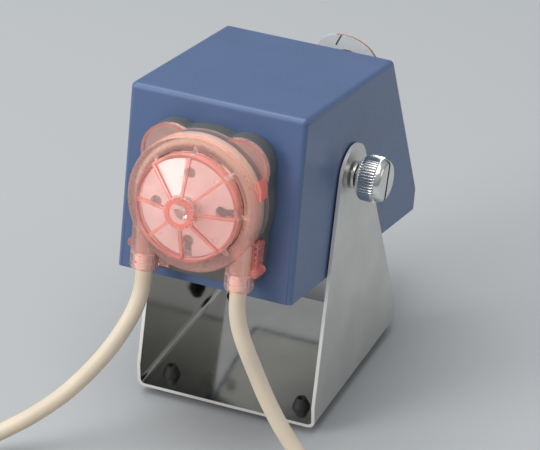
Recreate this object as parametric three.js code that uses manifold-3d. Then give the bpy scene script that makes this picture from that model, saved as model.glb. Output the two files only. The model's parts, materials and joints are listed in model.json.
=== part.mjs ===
// A bench-top peristaltic pump: a sheet-metal housing on a tilting stand, with a four-roller
// pump head, its tubing, a geared motor, the electronics and the controls on the rear panel.
// Millimetres, +Z up, +X to the right of someone facing the pump head, +Y to the rear.
import * as THREE from "three";
import { mergeVertices } from "three/addons/utils/BufferGeometryUtils.js";
import Module from "manifold-3d";

const wasm = await Module();
wasm.setup();

// ---- Driving dimensions ----
const DEGREE = Math.PI / 180;
const GAP = 0.1; // between pieces that touch

// Stand
const SHEET = 1.6;
const STAND_WIDTH = 91.3;
const STAND_DEPTH = 96.2;
const BASE_BOTTOM = 3.2;
const BASE_TOP = BASE_BOTTOM + SHEET;
const EAR_FOOT_HEIGHT = 15.5;
const EAR_RADIUS = 14.5;
const BEND_RADIUS = 3;
const FOOT_X = 33;
const FOOT_Y = 36;

// Tilt axis, which the two thumb screws clamp
const AXIS_Y = -3.5;
const AXIS_Z = 115.4;
const TILT = -12.6 * DEGREE;

// Housing, from its own front bottom edge
const HOUSING_WIDTH = 85;
const HOUSING_HEIGHT = 87;
const TOP_DEPTH = 102.5;
const BOTTOM_DEPTH = 150.5;
const REAR_LIP = 10.7;
const WALL = 1.2;
const AXIS_FROM_FRONT = 57.5;
const AXIS_FROM_BOTTOM = 45.3;
const LIP_WIDTH = 8;

// Pump head; its depths are counted forward from the housing's front face
const HEAD_Z = 44.6;
const HEAD_BASE_FRONT = 8;
const POCKET_RADIUS = 23.4;
const POCKET_FLOOR = 5.5;
const LOBE_X = 16.8;
const LOBE_Z = 17.5;
const LOBE_RADIUS = 13.8;
const CASING_RADIUS = 31.4;
const RACE_RADIUS = 29.3;
const FLANGE_FRONT = 11.1;
const CASING_FRONT = 20.2;
const WINDOW_RADIUS = 25;
const COVER_RADIUS = 24.6;
const COVER_RIM = 26.6;
const HUB_RADIUS = 7.6;
const HUB_FRONT = 33.4;
const BOSS_FRONT = 36.2;
const RIB_COUNT = 8;
const RIB_WIDTH = 1.4;

// Rotor
const ROTOR_RADIUS = 22.5;
const ROLLER_COUNT = 4;
const ROLLER_RADIUS = 6;
const ROLLER_CIRCLE = 18.6;
const ROLLER_START = 8.5;
const ROLLER_END = 20.1;
const ROTOR_FRONT_START = 20.8;
const ROTOR_FRONT_END = 23;
const PIN_RADIUS = 1.5;
const SHAFT_RADIUS = 3;

// Tubing
const TUBE_DIAMETER = 7.5;
const TUBE_RADIUS = TUBE_DIAMETER / 2;
const LEG_X = 22.9;
const TUBE_DEPTH = 14.2;
const NUT_TOP = 15.7;
const NUT_BOTTOM = 6;
const COIL_RADIUS = 5.5 * TUBE_DIAMETER;

// Gearbox and motor, from the rotor's axis
const CLUSTER_X = 8.2;
const CLUSTER_Z = 9.8;
const PINION_X = -4.3;
const PINION_Z = 9.8;
const BIG_GEAR = { radius: 9.1, teeth: 30 };
const SMALL_GEAR = { radius: 3.2, teeth: 10 };

// Thumb screws
const SCREW_RADIUS = 2.5;
const KNOB_RADIUS = 10.2;
const KNOB_LENGTH = 12.2;

// ---- Materials ----
function material(name, color, roughness, metalness, opacity = 1) {
  const made = new THREE.MeshStandardMaterial({ color, roughness, metalness, opacity });
  made.name = name;
  made.transparent = opacity < 1;
  return made;
}
const BLUE = material("blue_painted_steel", 0x46618f, 0.4, 0.1);
const STEEL = material("stainless_sheet", 0xb4b5b2, 0.25, 1);
const CHROME = material("nickel_plated_steel", 0xd2d2ce, 0.2, 1);
const ZINC = material("zinc_plated_steel", 0xb9b7ae, 0.4, 1);
const RUBBER = material("black_rubber", 0x17181a, 0.8, 0);
const GREY = material("dark_grey_plastic", 0x545c5c, 0.5, 0);
const PINK = material("clear_red_plastic", 0xe0736a, 0.15, 0, 0.5);
const WHITE = material("white_acetal", 0xefe6e4, 0.4, 0);
const TUBE = material("cream_tubing", 0xe4d6be, 0.5, 0);
const BLACK = material("black_plastic", 0x202124, 0.45, 0);
const CLEAR = material("clear_acrylic", 0xdfe6ea, 0.1, 0, 0.4);
const BRASS = material("brass", 0xb99a52, 0.35, 1);
const BOARD = material("circuit_board", 0x1f5a38, 0.5, 0);

// ---- Geometry helpers ----
// A closed manifold-3d solid of a three.js geometry, turned to face out.
function solid(geometry) {
  const bare = geometry.clone();
  bare.deleteAttribute("normal");
  bare.deleteAttribute("uv");
  const merged = mergeVertices(bare, 1e-4);
  const found = merged.index.array;
  const corners = [];
  for (let i = 0; i < found.length; i += 3) {
    const [a, b, c] = [found[i], found[i + 1], found[i + 2]];
    if (a !== b && b !== c && c !== a) corners.push(a, b, c);
  }
  const vertProperties = merged.attributes.position.array;
  const build = (list) =>
    new wasm.Manifold(
      new wasm.Mesh({ numProp: 3, vertProperties, triVerts: new Uint32Array(list) }),
    );
  const made = build(corners);
  if (made.volume() > 0) return made;
  return build(corners.reverse());
}

function join(...pieces) {
  return wasm.Manifold.union(pieces);
}

function cut(from, ...tools) {
  return wasm.Manifold.difference([from, ...tools]);
}

function geometryOf(shape) {
  const mesh = shape.getMesh();
  const geometry = new THREE.BufferGeometry();
  geometry.setAttribute("position", new THREE.BufferAttribute(mesh.vertProperties, 3));
  geometry.setIndex(new THREE.BufferAttribute(mesh.triVerts, 1));
  geometry.computeVertexNormals();
  return geometry;
}

function named(name, shape, finish) {
  const mesh = new THREE.Mesh(geometryOf(shape), finish);
  mesh.name = name;
  return mesh;
}

function box(x0, x1, y0, y1, z0, z1) {
  const geometry = new THREE.BoxGeometry(x1 - x0, y1 - y0, z1 - z0);
  geometry.translate((x0 + x1) / 2, (y0 + y1) / 2, (z0 + z1) / 2);
  return solid(geometry);
}

const ALONG = {
  x: new THREE.Matrix4().makeRotationZ(-Math.PI / 2),
  z: new THREE.Matrix4().makeRotationX(Math.PI / 2),
  forward: new THREE.Matrix4().makeRotationX(Math.PI),
};

// A solid of revolution: the profile's points are [radius, place along the axis].
function turned(profile, axis, segments = 32) {
  const points = profile.map(([radius, along]) => new THREE.Vector2(radius, along));
  return solid(new THREE.LatheGeometry(points, segments).applyMatrix4(ALONG[axis]));
}

// A cylinder or, with an inner radius, a ring.
function ring(inner, outer, from, to, axis, segments = 32) {
  const profile = [
    [inner, from],
    [outer, from],
    [outer, to],
    [inner, to],
  ];
  if (inner > 0) profile.push([inner, from]);
  return turned(profile, axis, segments);
}

// Extrudes a shape drawn in X and Z forward, between two depths in front of the front face.
const FORWARD = new THREE.Matrix4().makeRotationX(Math.PI / 2);
function forward(shape, from, to, curveSegments = 12) {
  const geometry = new THREE.ExtrudeGeometry(shape, {
    depth: to - from,
    bevelEnabled: false,
    curveSegments,
  });
  geometry.translate(0, 0, from);
  return solid(geometry.applyMatrix4(FORWARD));
}

// Extrudes a shape drawn in Y and Z sideways between two X places, with rounded ends if asked.
const SIDEWAYS = new THREE.Matrix4().makeBasis(
  new THREE.Vector3(0, 1, 0),
  new THREE.Vector3(0, 0, 1),
  new THREE.Vector3(1, 0, 0),
);
function sideways(shape, from, to, round = 0) {
  const geometry = new THREE.ExtrudeGeometry(shape, {
    depth: to - from - 2 * round,
    bevelEnabled: round > 0,
    bevelThickness: round,
    bevelSize: round,
    bevelOffset: -round,
    bevelSegments: 3,
    curveSegments: 6,
  });
  geometry.translate(0, 0, from + round);
  return solid(geometry.applyMatrix4(SIDEWAYS));
}

// A closed outline of straight edges with a rounded corner at each [x, y, radius].
function rounded(corners) {
  const shape = new THREE.Shape();
  corners.forEach(([x, y, radius = 0], i) => {
    const here = new THREE.Vector2(x, y);
    const before = new THREE.Vector2(...corners.at(i - 1).slice(0, 2));
    const after = new THREE.Vector2(...corners[(i + 1) % corners.length].slice(0, 2));
    const enter = here.clone().add(before.sub(here).setLength(Math.max(radius, 1e-3)));
    const leave = here.clone().add(after.sub(here).setLength(Math.max(radius, 1e-3)));
    if (radius === 0) {
      if (i === 0) shape.moveTo(x, y);
      else shape.lineTo(x, y);
      return;
    }
    if (i === 0) shape.moveTo(enter.x, enter.y);
    else shape.lineTo(enter.x, enter.y);
    shape.quadraticCurveTo(x, y, leave.x, leave.y);
  });
  shape.closePath();
  return shape;
}

function circle(x, y, radius) {
  return new THREE.Shape().absarc(x, y, radius, 0, 2 * Math.PI, false);
}

// A regular polygon's outline with a flat side facing down the second axis.
function polygon(sides, acrossFlats) {
  const radius = acrossFlats / 2 / Math.cos(Math.PI / sides);
  const points = [];
  for (let i = 0; i < sides; i++) {
    const angle = (2 * Math.PI * i) / sides;
    points.push(new THREE.Vector2(radius * Math.cos(angle), radius * Math.sin(angle)));
  }
  return new THREE.Shape(points);
}

// A toothed outline: straight-sided teeth between a root and a tip radius.
function toothed(radius, teeth, depth) {
  const points = [];
  for (let i = 0; i < teeth; i++) {
    for (const [share, r] of [
      [0.05, radius - depth],
      [0.3, radius],
      [0.7, radius],
      [0.95, radius - depth],
    ]) {
      const angle = (2 * Math.PI * (i + share)) / teeth;
      points.push(new THREE.Vector2(r * Math.cos(angle), r * Math.sin(angle)));
    }
  }
  return new THREE.Shape(points);
}

function moved(shape, x, y, z) {
  return shape.translate([x, y, z]);
}

// ---- Stand ----
function standBracket() {
  const half = STAND_WIDTH / 2;
  const top = AXIS_Z + EAR_RADIUS;
  const section = rounded([
    [-half, top],
    [-half, BASE_BOTTOM, BEND_RADIUS + SHEET],
    [half, BASE_BOTTOM, BEND_RADIUS + SHEET],
    [half, top],
    [half - SHEET, top],
    [half - SHEET, BASE_TOP, BEND_RADIUS],
    [SHEET - half, BASE_TOP, BEND_RADIUS],
    [SHEET - half, top],
  ]);
  const folded = forward(section, -STAND_DEPTH / 2, STAND_DEPTH / 2, 6);
  const ear = new THREE.Shape();
  const rise = AXIS_Z - EAR_FOOT_HEIGHT;
  ear.moveTo(-STAND_DEPTH / 2, BASE_BOTTOM - 1);
  ear.lineTo(STAND_DEPTH / 2, BASE_BOTTOM - 1);
  ear.lineTo(STAND_DEPTH / 2, EAR_FOOT_HEIGHT);
  const rearLean = Math.atan2(STAND_DEPTH / 2 - AXIS_Y - EAR_RADIUS, rise);
  const frontLean = Math.atan2(STAND_DEPTH / 2 + AXIS_Y - EAR_RADIUS, rise);
  ear.absarc(AXIS_Y, AXIS_Z, EAR_RADIUS, rearLean, Math.PI - frontLean, false);
  ear.lineTo(-STAND_DEPTH / 2, EAR_FOOT_HEIGHT);
  ear.closePath();
  const outline = sideways(ear, -half - 1, half + 1);
  const bolt = moved(ring(0, 2.9, -half - 1, half + 1, "x", 20), 0, AXIS_Y, AXIS_Z);
  const holes = [];
  for (const x of [-FOOT_X, FOOT_X]) {
    for (const y of [-FOOT_Y, FOOT_Y]) {
      holes.push(moved(ring(0, 2.7, BASE_BOTTOM - 1, BASE_TOP + 1, "z", 16), x, y, 0));
    }
  }
  return cut(folded.intersect(outline), bolt, ...holes);
}

// A push-in foot: a pad below the sheet, a neck through it and a barbed tip with a hole above it.
function foot() {
  return turned(
    [
      [0, 0],
      [5.6, 0],
      [6, 0.5],
      [6, BASE_BOTTOM - GAP],
      [2.4, BASE_BOTTOM - GAP],
      [2.4, BASE_TOP + GAP],
      [4.3, BASE_TOP + GAP],
      [4.2, BASE_TOP + 1.2],
      [2.1, BASE_TOP + 5.8],
      [1.1, BASE_TOP + 5.8],
      [1.1, BASE_TOP + 2.5],
      [0, BASE_TOP + 2.5],
    ],
    "z",
    16,
  );
}

// ---- Tilt clamp: side is 1 on the right and -1 on the left ----
const EAR_FACE = STAND_WIDTH / 2;
const SPRING_START = EAR_FACE + GAP + 1.2 + GAP;
const KNOB_START = SPRING_START + 1.7 + GAP;

function thumbScrew() {
  const face = KNOB_START + KNOB_LENGTH;
  const knurled = new THREE.ExtrudeGeometry(toothed(KNOB_RADIUS, 32, 0.35), {
    depth: KNOB_LENGTH,
    bevelEnabled: false,
  });
  knurled.translate(0, 0, KNOB_START);
  const chamfered = turned(
    [
      [0, KNOB_START],
      [KNOB_RADIUS - 1, KNOB_START],
      [KNOB_RADIUS, KNOB_START + 1],
      [KNOB_RADIUS, face - 1.4],
      [KNOB_RADIUS - 1.4, face],
      [0, face],
    ],
    "x",
    32,
  );
  const head = solid(knurled.applyMatrix4(SIDEWAYS)).intersect(chamfered);
  const slot = box(face - 2, face + 1, -1, 1, -KNOB_RADIUS - 1, KNOB_RADIUS + 1);
  const shank = ring(0, SCREW_RADIUS, HOUSING_WIDTH / 2 - 8, KNOB_START + 1, "x", 20);
  return join(cut(head, slot), shank);
}

function clampPieces(side) {
  const word = side > 0 ? "right" : "left";
  const wall = HOUSING_WIDTH / 2;
  const pieces = [
    named(`thumb_screw_${word}`, thumbScrew(), CHROME),
    named(`flat_washer_${word}`, ring(2.8, 6.5, EAR_FACE + GAP, SPRING_START - GAP, "x"), CHROME),
    named(`spring_washer_${word}`, ring(2.8, 5.3, SPRING_START, KNOB_START - GAP, "x"), ZINC),
    named(`pivot_spacer_${word}`, ring(2.8, 7, wall + GAP, EAR_FACE - SHEET - GAP, "x"), RUBBER),
  ];
  const group = new THREE.Group();
  pieces.forEach((piece) => group.add(piece));
  group.rotation.z = side > 0 ? 0 : Math.PI;
  group.position.set(0, AXIS_Y, AXIS_Z);
  return group;
}

// ---- Housing ----
// The rear panel leans: a unit step down along it and the unit normal out of it, in Y and Z.
const PANEL_DOWN = new THREE.Vector2(BOTTOM_DEPTH - TOP_DEPTH, REAR_LIP - HOUSING_HEIGHT);
PANEL_DOWN.normalize();
const PANEL_OUT = new THREE.Vector2(-PANEL_DOWN.y, PANEL_DOWN.x);

// The housing's side outline, set in from the outside by a distance; it runs on down at the bottom.
function sideOutline(inset, floor, corner) {
  const top = HOUSING_HEIGHT - inset;
  const rear = BOTTOM_DEPTH - inset;
  const start = new THREE.Vector2(TOP_DEPTH, HOUSING_HEIGHT).addScaledVector(PANEL_OUT, -inset);
  const slope = PANEL_DOWN.y / PANEL_DOWN.x;
  return rounded([
    [inset, floor],
    [rear, floor],
    [rear, start.y + (rear - start.x) * slope, corner],
    [start.x + (top - start.y) / slope, top, corner],
    [inset, top, corner],
  ]);
}

// Moves a solid built about Z from the panel's own frame: x to the right seen from the rear,
// y up the panel from its top edge, z out of it.
const PANEL_FRAME = new THREE.Matrix4()
  .makeBasis(
    new THREE.Vector3(-1, 0, 0),
    new THREE.Vector3(0, -PANEL_DOWN.x, -PANEL_DOWN.y),
    new THREE.Vector3(0, PANEL_OUT.x, PANEL_OUT.y),
  )
  .setPosition(0, TOP_DEPTH, HOUSING_HEIGHT);
function onPanel(shape, x, down) {
  return moved(shape, -x, -down, 0).transform(PANEL_FRAME.elements);
}

const DIAL = { x: 14, down: 14.5 };
const ROCKER = { x: -21, down: 24 };
const TOGGLE = { x: -21, down: 56 };
const INLET = { x: 17, down: 62 };
const HEAD_SCREW_X = 17;

const COVER_SCREW_X = HOUSING_WIDTH / 2 - WALL - 4;
const COVER_SCREWS = [
  [-COVER_SCREW_X, BOTTOM_DEPTH - 40],
  [COVER_SCREW_X, BOTTOM_DEPTH - 40],
];

function housingShell() {
  const half = HOUSING_WIDTH / 2;
  const outer = sideways(sideOutline(0, 0, 3.2), -half, half, 2.2);
  const inner = sideways(sideOutline(WALL, -3, 1.5), WALL - half, half - WALL);
  const floor = box(-half + WALL, half - WALL, WALL, BOTTOM_DEPTH - WALL, -1, 2);
  const lips = [-1, 1].map((side) => {
    const x0 = side > 0 ? half - WALL - LIP_WIDTH : 0.1 - half;
    const x1 = side > 0 ? half - 0.1 : LIP_WIDTH + WALL - half;
    return box(x0, x1, 10, BOTTOM_DEPTH - 8, 2, 2 + WALL);
  });
  const axle = moved(
    ring(0, 2.8, -half - 1, half + 1, "x", 20),
    0,
    AXIS_FROM_FRONT,
    AXIS_FROM_BOTTOM,
  );
  const holes = [
    moved(ring(0, 9, -3, 3, "forward", 24), 0, 0, HEAD_Z),
    onPanel(ring(0, 3.7, -5, 3, "z", 20), DIAL.x, DIAL.down),
    onPanel(box(-6.2, 6.2, -9.7, 9.7, -5, 3), ROCKER.x, ROCKER.down),
    onPanel(ring(0, 3.3, -5, 3, "z", 20), TOGGLE.x, TOGGLE.down),
    onPanel(ring(0, 4.2, -5, 3, "z", 20), INLET.x, INLET.down),
  ];
  for (const side of [-1, 1]) {
    holes.push(moved(ring(0, 2.2, -3, 3, "forward", 16), side * HEAD_SCREW_X, 0, HEAD_Z));
  }
  for (const [x, y] of COVER_SCREWS) {
    holes.push(moved(ring(0, 1.4, 0, 5, "z", 12), x, y, 0));
  }
  return cut(join(cut(outer, inner, floor), ...lips), axle, ...holes);
}

function bottomCover() {
  const half = HOUSING_WIDTH / 2 - WALL - 0.3;
  const plate = box(-half, half, WALL + 0.4, BOTTOM_DEPTH - WALL - 0.4, 0.3, 1.8);
  const holes = COVER_SCREWS.map(([x, y]) => moved(ring(0, 1.8, -1, 3, "z", 12), x, y, 0));
  const studs = STUDS.map(([x, y]) => moved(stud(), x, y, 0));
  return join(cut(plate, ...holes), ...studs);
}

// A pan-head screw with a cross recess, head at the bottom.
function panScrew(radius, headRadius, headHeight, length) {
  const body = turned(
    [
      [0, 0],
      [headRadius * 0.8, 0],
      [headRadius, headHeight * 0.5],
      [headRadius, headHeight],
      [radius, headHeight],
      [radius, headHeight + length],
      [0, headHeight + length],
    ],
    "z",
    16,
  );
  const arm = headRadius * 0.6;
  const deep = headHeight * 0.6;
  const cross = [box(-arm, arm, -0.3, 0.3, -1, deep), box(-0.3, 0.3, -arm, arm, -1, deep)];
  return cut(body, ...cross);
}

function housingPieces() {
  const list = [
    named("housing_shell", housingShell(), BLUE),
    named("bottom_cover", bottomCover(), STEEL),
    named("control_board", controlBoard(), BOARD),
  ];
  COVER_SCREWS.forEach(([x, y], i) => {
    const screw = moved(panScrew(1.3, 2.8, 1.6, 4.5), x, y, -1.4);
    list.push(named(`cover_screw_${i + 1}`, screw, ZINC));
  });
  for (const side of [-1, 1]) {
    const inner = HOUSING_WIDTH / 2 - WALL - GAP;
    const x0 = side > 0 ? inner - 5 : -inner;
    const nut = cut(
      sideways(polygon(6, 10), x0, x0 + 5),
      ring(0, SCREW_RADIUS + 0.2, x0 - 1, x0 + 6, "x", 20),
    );
    const word = side > 0 ? "right" : "left";
    list.push(named(`pivot_nut_${word}`, moved(nut, 0, AXIS_FROM_FRONT, AXIS_FROM_BOTTOM), ZINC));
  }
  return list;
}

// ---- Pump head ----
// Two round lobes above a circle about the rotor, and straight sides down to a cut-off foot.
function lobed(radius, lobeRadius) {
  const lobes = [-1, 1].map((side) => circle(side * LOBE_X, LOBE_Z, lobeRadius));
  return [circle(0, 0, radius), ...lobes];
}

function headBase() {
  const body = lobed(CASING_RADIUS + 0.2, LOBE_RADIUS).map((s) =>
    forward(s, GAP, HEAD_BASE_FRONT, 24),
  );
  const skirt = new THREE.Shape();
  skirt.moveTo(-30.4, LOBE_Z);
  skirt.lineTo(-29.4, -32.5);
  skirt.lineTo(-24.5, -37.4);
  skirt.lineTo(24.5, -37.4);
  skirt.lineTo(29.4, -32.5);
  skirt.lineTo(30.4, LOBE_Z);
  skirt.closePath();
  const pocket = ring(0, POCKET_RADIUS, POCKET_FLOOR, 12, "forward", 48);
  const seat = ring(0, 6.2, -1, 12, "forward", 24);
  const screws = [-1, 1].map((side) =>
    moved(
      join(ring(0, 2.2, -1, 12, "forward", 16), ring(0, 3.6, 3, 12, "forward", 16)),
      side * HEAD_SCREW_X,
      0,
      0,
    ),
  );
  const whole = join(...body, forward(skirt, GAP, HEAD_BASE_FRONT));
  return cut(whole, pocket, seat, ...screws);
}

function headCasing() {
  const start = HEAD_BASE_FRONT + GAP;
  const flange = lobed(CASING_RADIUS, LOBE_RADIUS - 0.2).map((s) =>
    forward(s, start, FLANGE_FRONT, 24),
  );
  const drum = turned(
    [
      [0, start],
      [CASING_RADIUS, start],
      [CASING_RADIUS, CASING_FRONT - 0.8],
      [CASING_RADIUS - 0.8, CASING_FRONT],
      [0, CASING_FRONT],
    ],
    "forward",
    48,
  );
  const legs = [];
  const bores = [];
  for (const side of [-1, 1]) {
    const x = side * LEG_X;
    const low = NUT_TOP + GAP - HEAD_Z;
    legs.push(box(x - 5.4, x + 5.4, -TUBE_DEPTH - 5.4, -start, low, -14));
    bores.push(moved(ring(0, 4.2, low - 1, -8, "z", 20), x, -TUBE_DEPTH, 0));
    bores.push(box(x - 4.2, x + 4.2, -TUBE_DEPTH - 4.2, -TUBE_DEPTH + 4.2, -18, -4));
  }
  const race = ring(0, RACE_RADIUS, start - 1, CASING_FRONT - 1.8, "forward", 48);
  const window = ring(0, WINDOW_RADIUS, start, CASING_FRONT + 1, "forward", 48);
  return cut(join(...flange, drum, ...legs), race, window, ...bores);
}

function headCover() {
  const shell = turned(
    [
      [22.9, CASING_FRONT + 0.2],
      [COVER_RADIUS, CASING_FRONT + 0.2],
      [COVER_RADIUS, COVER_RIM - 0.4],
      [COVER_RADIUS - 0.4, COVER_RIM],
      [23.3, COVER_RIM],
      [22.9, 25.6],
      [HUB_RADIUS, 31],
      [HUB_RADIUS, HUB_FRONT - 0.6],
      [HUB_RADIUS - 0.6, HUB_FRONT],
      [3.6, HUB_FRONT],
      [3.4, BOSS_FRONT - 0.6],
      [2.8, BOSS_FRONT],
      [0, BOSS_FRONT],
      [0, 31.4],
      [6, 31.4],
      [6.4, 29.8],
      [22.9, 24.1],
      [22.9, CASING_FRONT + 0.2],
    ],
    "forward",
    48,
  );
  const parts = [shell];
  const rib = new THREE.Shape();
  rib.moveTo(HUB_RADIUS - 1, 30.2);
  rib.lineTo(HUB_RADIUS - 1, 32.6);
  rib.lineTo(23.6, 26.9);
  rib.lineTo(23.6, 24.8);
  rib.closePath();
  const nib = new THREE.Shape();
  nib.moveTo(COVER_RADIUS - 0.5, CASING_FRONT + 0.2);
  nib.lineTo(COVER_RADIUS + 2.6, CASING_FRONT + 0.2);
  nib.lineTo(COVER_RADIUS + 2.2, CASING_FRONT + 1.4);
  nib.lineTo(COVER_RADIUS - 0.5, CASING_FRONT + 2.8);
  nib.closePath();
  const upright = new THREE.Matrix4().makeBasis(
    new THREE.Vector3(1, 0, 0),
    new THREE.Vector3(0, -1, 0),
    new THREE.Vector3(0, 0, -1),
  );
  for (let i = 0; i < RIB_COUNT; i++) {
    for (const shape of [rib, nib]) {
      const geometry = new THREE.ExtrudeGeometry(shape, { depth: RIB_WIDTH, bevelEnabled: false });
      geometry.translate(0, 0, -RIB_WIDTH / 2);
      geometry.applyMatrix4(upright);
      geometry.rotateY((2 * Math.PI * i) / RIB_COUNT);
      parts.push(solid(geometry));
    }
  }
  return join(...parts);
}

function tubeNut() {
  const flats = new THREE.ExtrudeGeometry(polygon(6, 11.8), {
    depth: NUT_TOP - NUT_BOTTOM,
    bevelEnabled: false,
  });
  flats.translate(0, 0, NUT_BOTTOM);
  const bore = ring(0, TUBE_RADIUS + 0.3, NUT_BOTTOM - 1, NUT_TOP + 1, "z", 20);
  return cut(solid(flats), bore);
}

// A moulded strip beside each tube, with windows in it and a round peg at its foot.
function sideClip(side) {
  const strip = new THREE.Shape();
  strip.moveTo(28.5, -28.6);
  strip.lineTo(30.1, -28.6);
  strip.lineTo(30.3, -14.6);
  strip.lineTo(28.5, -14.6);
  strip.closePath();
  const peg = moved(ring(0, 1.8, HEAD_BASE_FRONT + GAP, 13.5, "forward", 16), 30.4, 0, -27);
  const bar = join(forward(strip, HEAD_BASE_FRONT + GAP, FLANGE_FRONT), peg);
  return side > 0 ? bar : bar.mirror([1, 0, 0]);
}

// The small catch on the drum's right side that holds the cover.
function coverCatch() {
  const hook = new THREE.Shape();
  hook.moveTo(30.8, 7.5);
  hook.lineTo(31.5, 7.5);
  hook.lineTo(31.3, 13);
  hook.lineTo(29.4, 16.6);
  hook.lineTo(28, 15.3);
  hook.lineTo(29.8, 11.6);
  hook.closePath();
  return forward(hook, FLANGE_FRONT + GAP, CASING_FRONT - 2);
}

// ---- Pump tube: round in the two legs, and pressed against the race where the rollers run ----
const PRESSED_INNER = 24.9;
const PRESSED_OUTER = RACE_RADIUS - 0.2;
const PRESSED_WIDTH = 8;

// A leg's cross-section at a height below the rotor's axis: it keeps inside the race and
// outside the circle that the rollers sweep.
function legStation(side, z) {
  const across = (radius) => Math.sqrt(Math.max(radius ** 2 - z ** 2, 0));
  const inner = Math.max(LEG_X - TUBE_RADIUS, across(PRESSED_INNER));
  const outer = Math.max(LEG_X + TUBE_RADIUS, across(PRESSED_OUTER));
  return {
    x: (side * (inner + outer)) / 2,
    z,
    radial: new THREE.Vector2(side, 0),
    thick: (outer - inner) / 2,
  };
}

function pumpTube() {
  const heights = [NUT_BOTTOM - HEAD_Z, -28, -20, -16, -14, -12, -10, -7.5, -5, -2.5];
  const stations = heights.map((z) => legStation(-1, z));
  const middle = (PRESSED_INNER + PRESSED_OUTER) / 2;
  const steps = 20;
  for (let i = 0; i <= steps; i++) {
    const angle = Math.PI * (1 - i / steps);
    const radial = new THREE.Vector2(Math.cos(angle), Math.sin(angle));
    const thick = (PRESSED_OUTER - PRESSED_INNER) / 2;
    stations.push({ x: middle * radial.x, z: middle * radial.y, radial, thick });
  }
  stations.push(...heights.reverse().map((z) => legStation(1, z)));
  const sides = 12;
  const position = [];
  const index = [];
  for (const { x, z, radial, thick } of stations) {
    const wide = thick < TUBE_RADIUS - 0.5 ? PRESSED_WIDTH / 2 : TUBE_RADIUS;
    for (let k = 0; k < sides; k++) {
      const angle = (2 * Math.PI * k) / sides;
      const out = thick * Math.cos(angle);
      const across = -TUBE_DEPTH + wide * Math.sin(angle);
      position.push(x + out * radial.x, across, z + out * radial.y);
    }
  }
  const last = (stations.length - 1) * sides;
  for (let s = 0; s < stations.length - 1; s++) {
    for (let k = 0; k < sides; k++) {
      const a = s * sides + k;
      const b = s * sides + ((k + 1) % sides);
      index.push(a, b, a + sides, b, b + sides, a + sides);
    }
  }
  for (let k = 1; k < sides - 1; k++) {
    index.push(0, k + 1, k);
    index.push(last, last + k, last + k + 1);
  }
  const geometry = new THREE.BufferGeometry();
  geometry.setAttribute("position", new THREE.Float32BufferAttribute(position, 3));
  geometry.setIndex(index);
  return solid(geometry);
}

// ---- Rotor ----
const ROLLER_PHASE = 48 * DEGREE;
function rollerPlace(i) {
  const angle = ROLLER_PHASE + (2 * Math.PI * i) / ROLLER_COUNT;
  return [ROLLER_CIRCLE * Math.cos(angle), ROLLER_CIRCLE * Math.sin(angle)];
}

// A keyhole notch between each pair of roller pins, which both of the rotor's discs have.
function keyholes(from, to) {
  const notch = new THREE.Shape();
  notch.moveTo(16, -1.5);
  notch.lineTo(24, -2.3);
  notch.lineTo(24, 2.3);
  notch.lineTo(16, 1.5);
  notch.closePath();
  const eye = moved(ring(0, 2.6, from, to, "forward", 20), 15.6, 0, 0);
  const keyhole = join(forward(notch, from, to), eye);
  const made = [];
  for (let i = 0; i < ROLLER_COUNT; i++) {
    const turn = ROLLER_PHASE + (2 * Math.PI * (i + 0.5)) / ROLLER_COUNT;
    made.push(keyhole.rotate([0, -turn / DEGREE, 0]));
  }
  return made;
}

function rotorFront() {
  const disc = ring(0, ROTOR_RADIUS, ROTOR_FRONT_START, ROTOR_FRONT_END, "forward", 48);
  const hub = ring(0, 5.5, ROTOR_FRONT_START, 24.6, "forward", 32);
  const tools = [ring(0, SHAFT_RADIUS + 0.1, 18, 26, "forward", 24), ...keyholes(20, 24)];
  for (let i = 0; i < ROLLER_COUNT; i++) {
    const [x, z] = rollerPlace(i);
    tools.push(moved(ring(0, PIN_RADIUS + 0.1, 18, 26, "forward", 16), x, 0, z));
  }
  return cut(join(disc, hub), ...tools);
}

// The back disc carries the hub and the four pins that the rollers turn on.
function rollerCarrier() {
  const disc = ring(0, ROTOR_RADIUS, POCKET_FLOOR + 0.4, ROLLER_START - 0.4, "forward", 48);
  const hub = ring(0, 8, POCKET_FLOOR + 0.4, ROTOR_FRONT_START - GAP, "forward", 32);
  const pins = [];
  for (let i = 0; i < ROLLER_COUNT; i++) {
    const [x, z] = rollerPlace(i);
    const pin = ring(0, PIN_RADIUS, POCKET_FLOOR + 1, ROTOR_FRONT_END, "forward", 16);
    pins.push(moved(pin, x, 0, z));
  }
  const bore = ring(0, SHAFT_RADIUS + 0.1, 0, 26, "forward", 24);
  return cut(join(disc, hub, ...pins), bore, ...keyholes(POCKET_FLOOR, ROLLER_START));
}

function driveShaft() {
  return join(
    ring(0, SHAFT_RADIUS, -15, 23.2, "forward", 24),
    ring(0, 5.4, 0.6, 1.4, "forward", 24),
  );
}

function rotorScrew() {
  const head = ring(0, 4.4, 24.7, 27.4, "forward", 24);
  const slot = box(-5, 5, -28, -26.4, -0.6, 0.6);
  return join(cut(head, slot), ring(0, 1.6, 23.3, 25, "forward", 16));
}

function rotorPieces() {
  const list = [
    named("rotor_front_plate", rotorFront(), WHITE),
    named("roller_carrier", rollerCarrier(), WHITE),
    named("drive_shaft", driveShaft(), ZINC),
    named("rotor_screw", rotorScrew(), ZINC),
    named("shaft_bearing", ring(3.3, 6, 1.6, 5.2, "forward", 32), BRASS),
  ];
  for (let i = 0; i < ROLLER_COUNT; i++) {
    const [x, z] = rollerPlace(i);
    const roller = ring(
      PIN_RADIUS + 0.1,
      ROLLER_RADIUS,
      ROLLER_START,
      ROLLER_END,
      "forward",
      32,
    );
    list.push(named(`roller_${i + 1}`, moved(roller, x, 0, z), WHITE));
  }
  return list;
}

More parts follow.
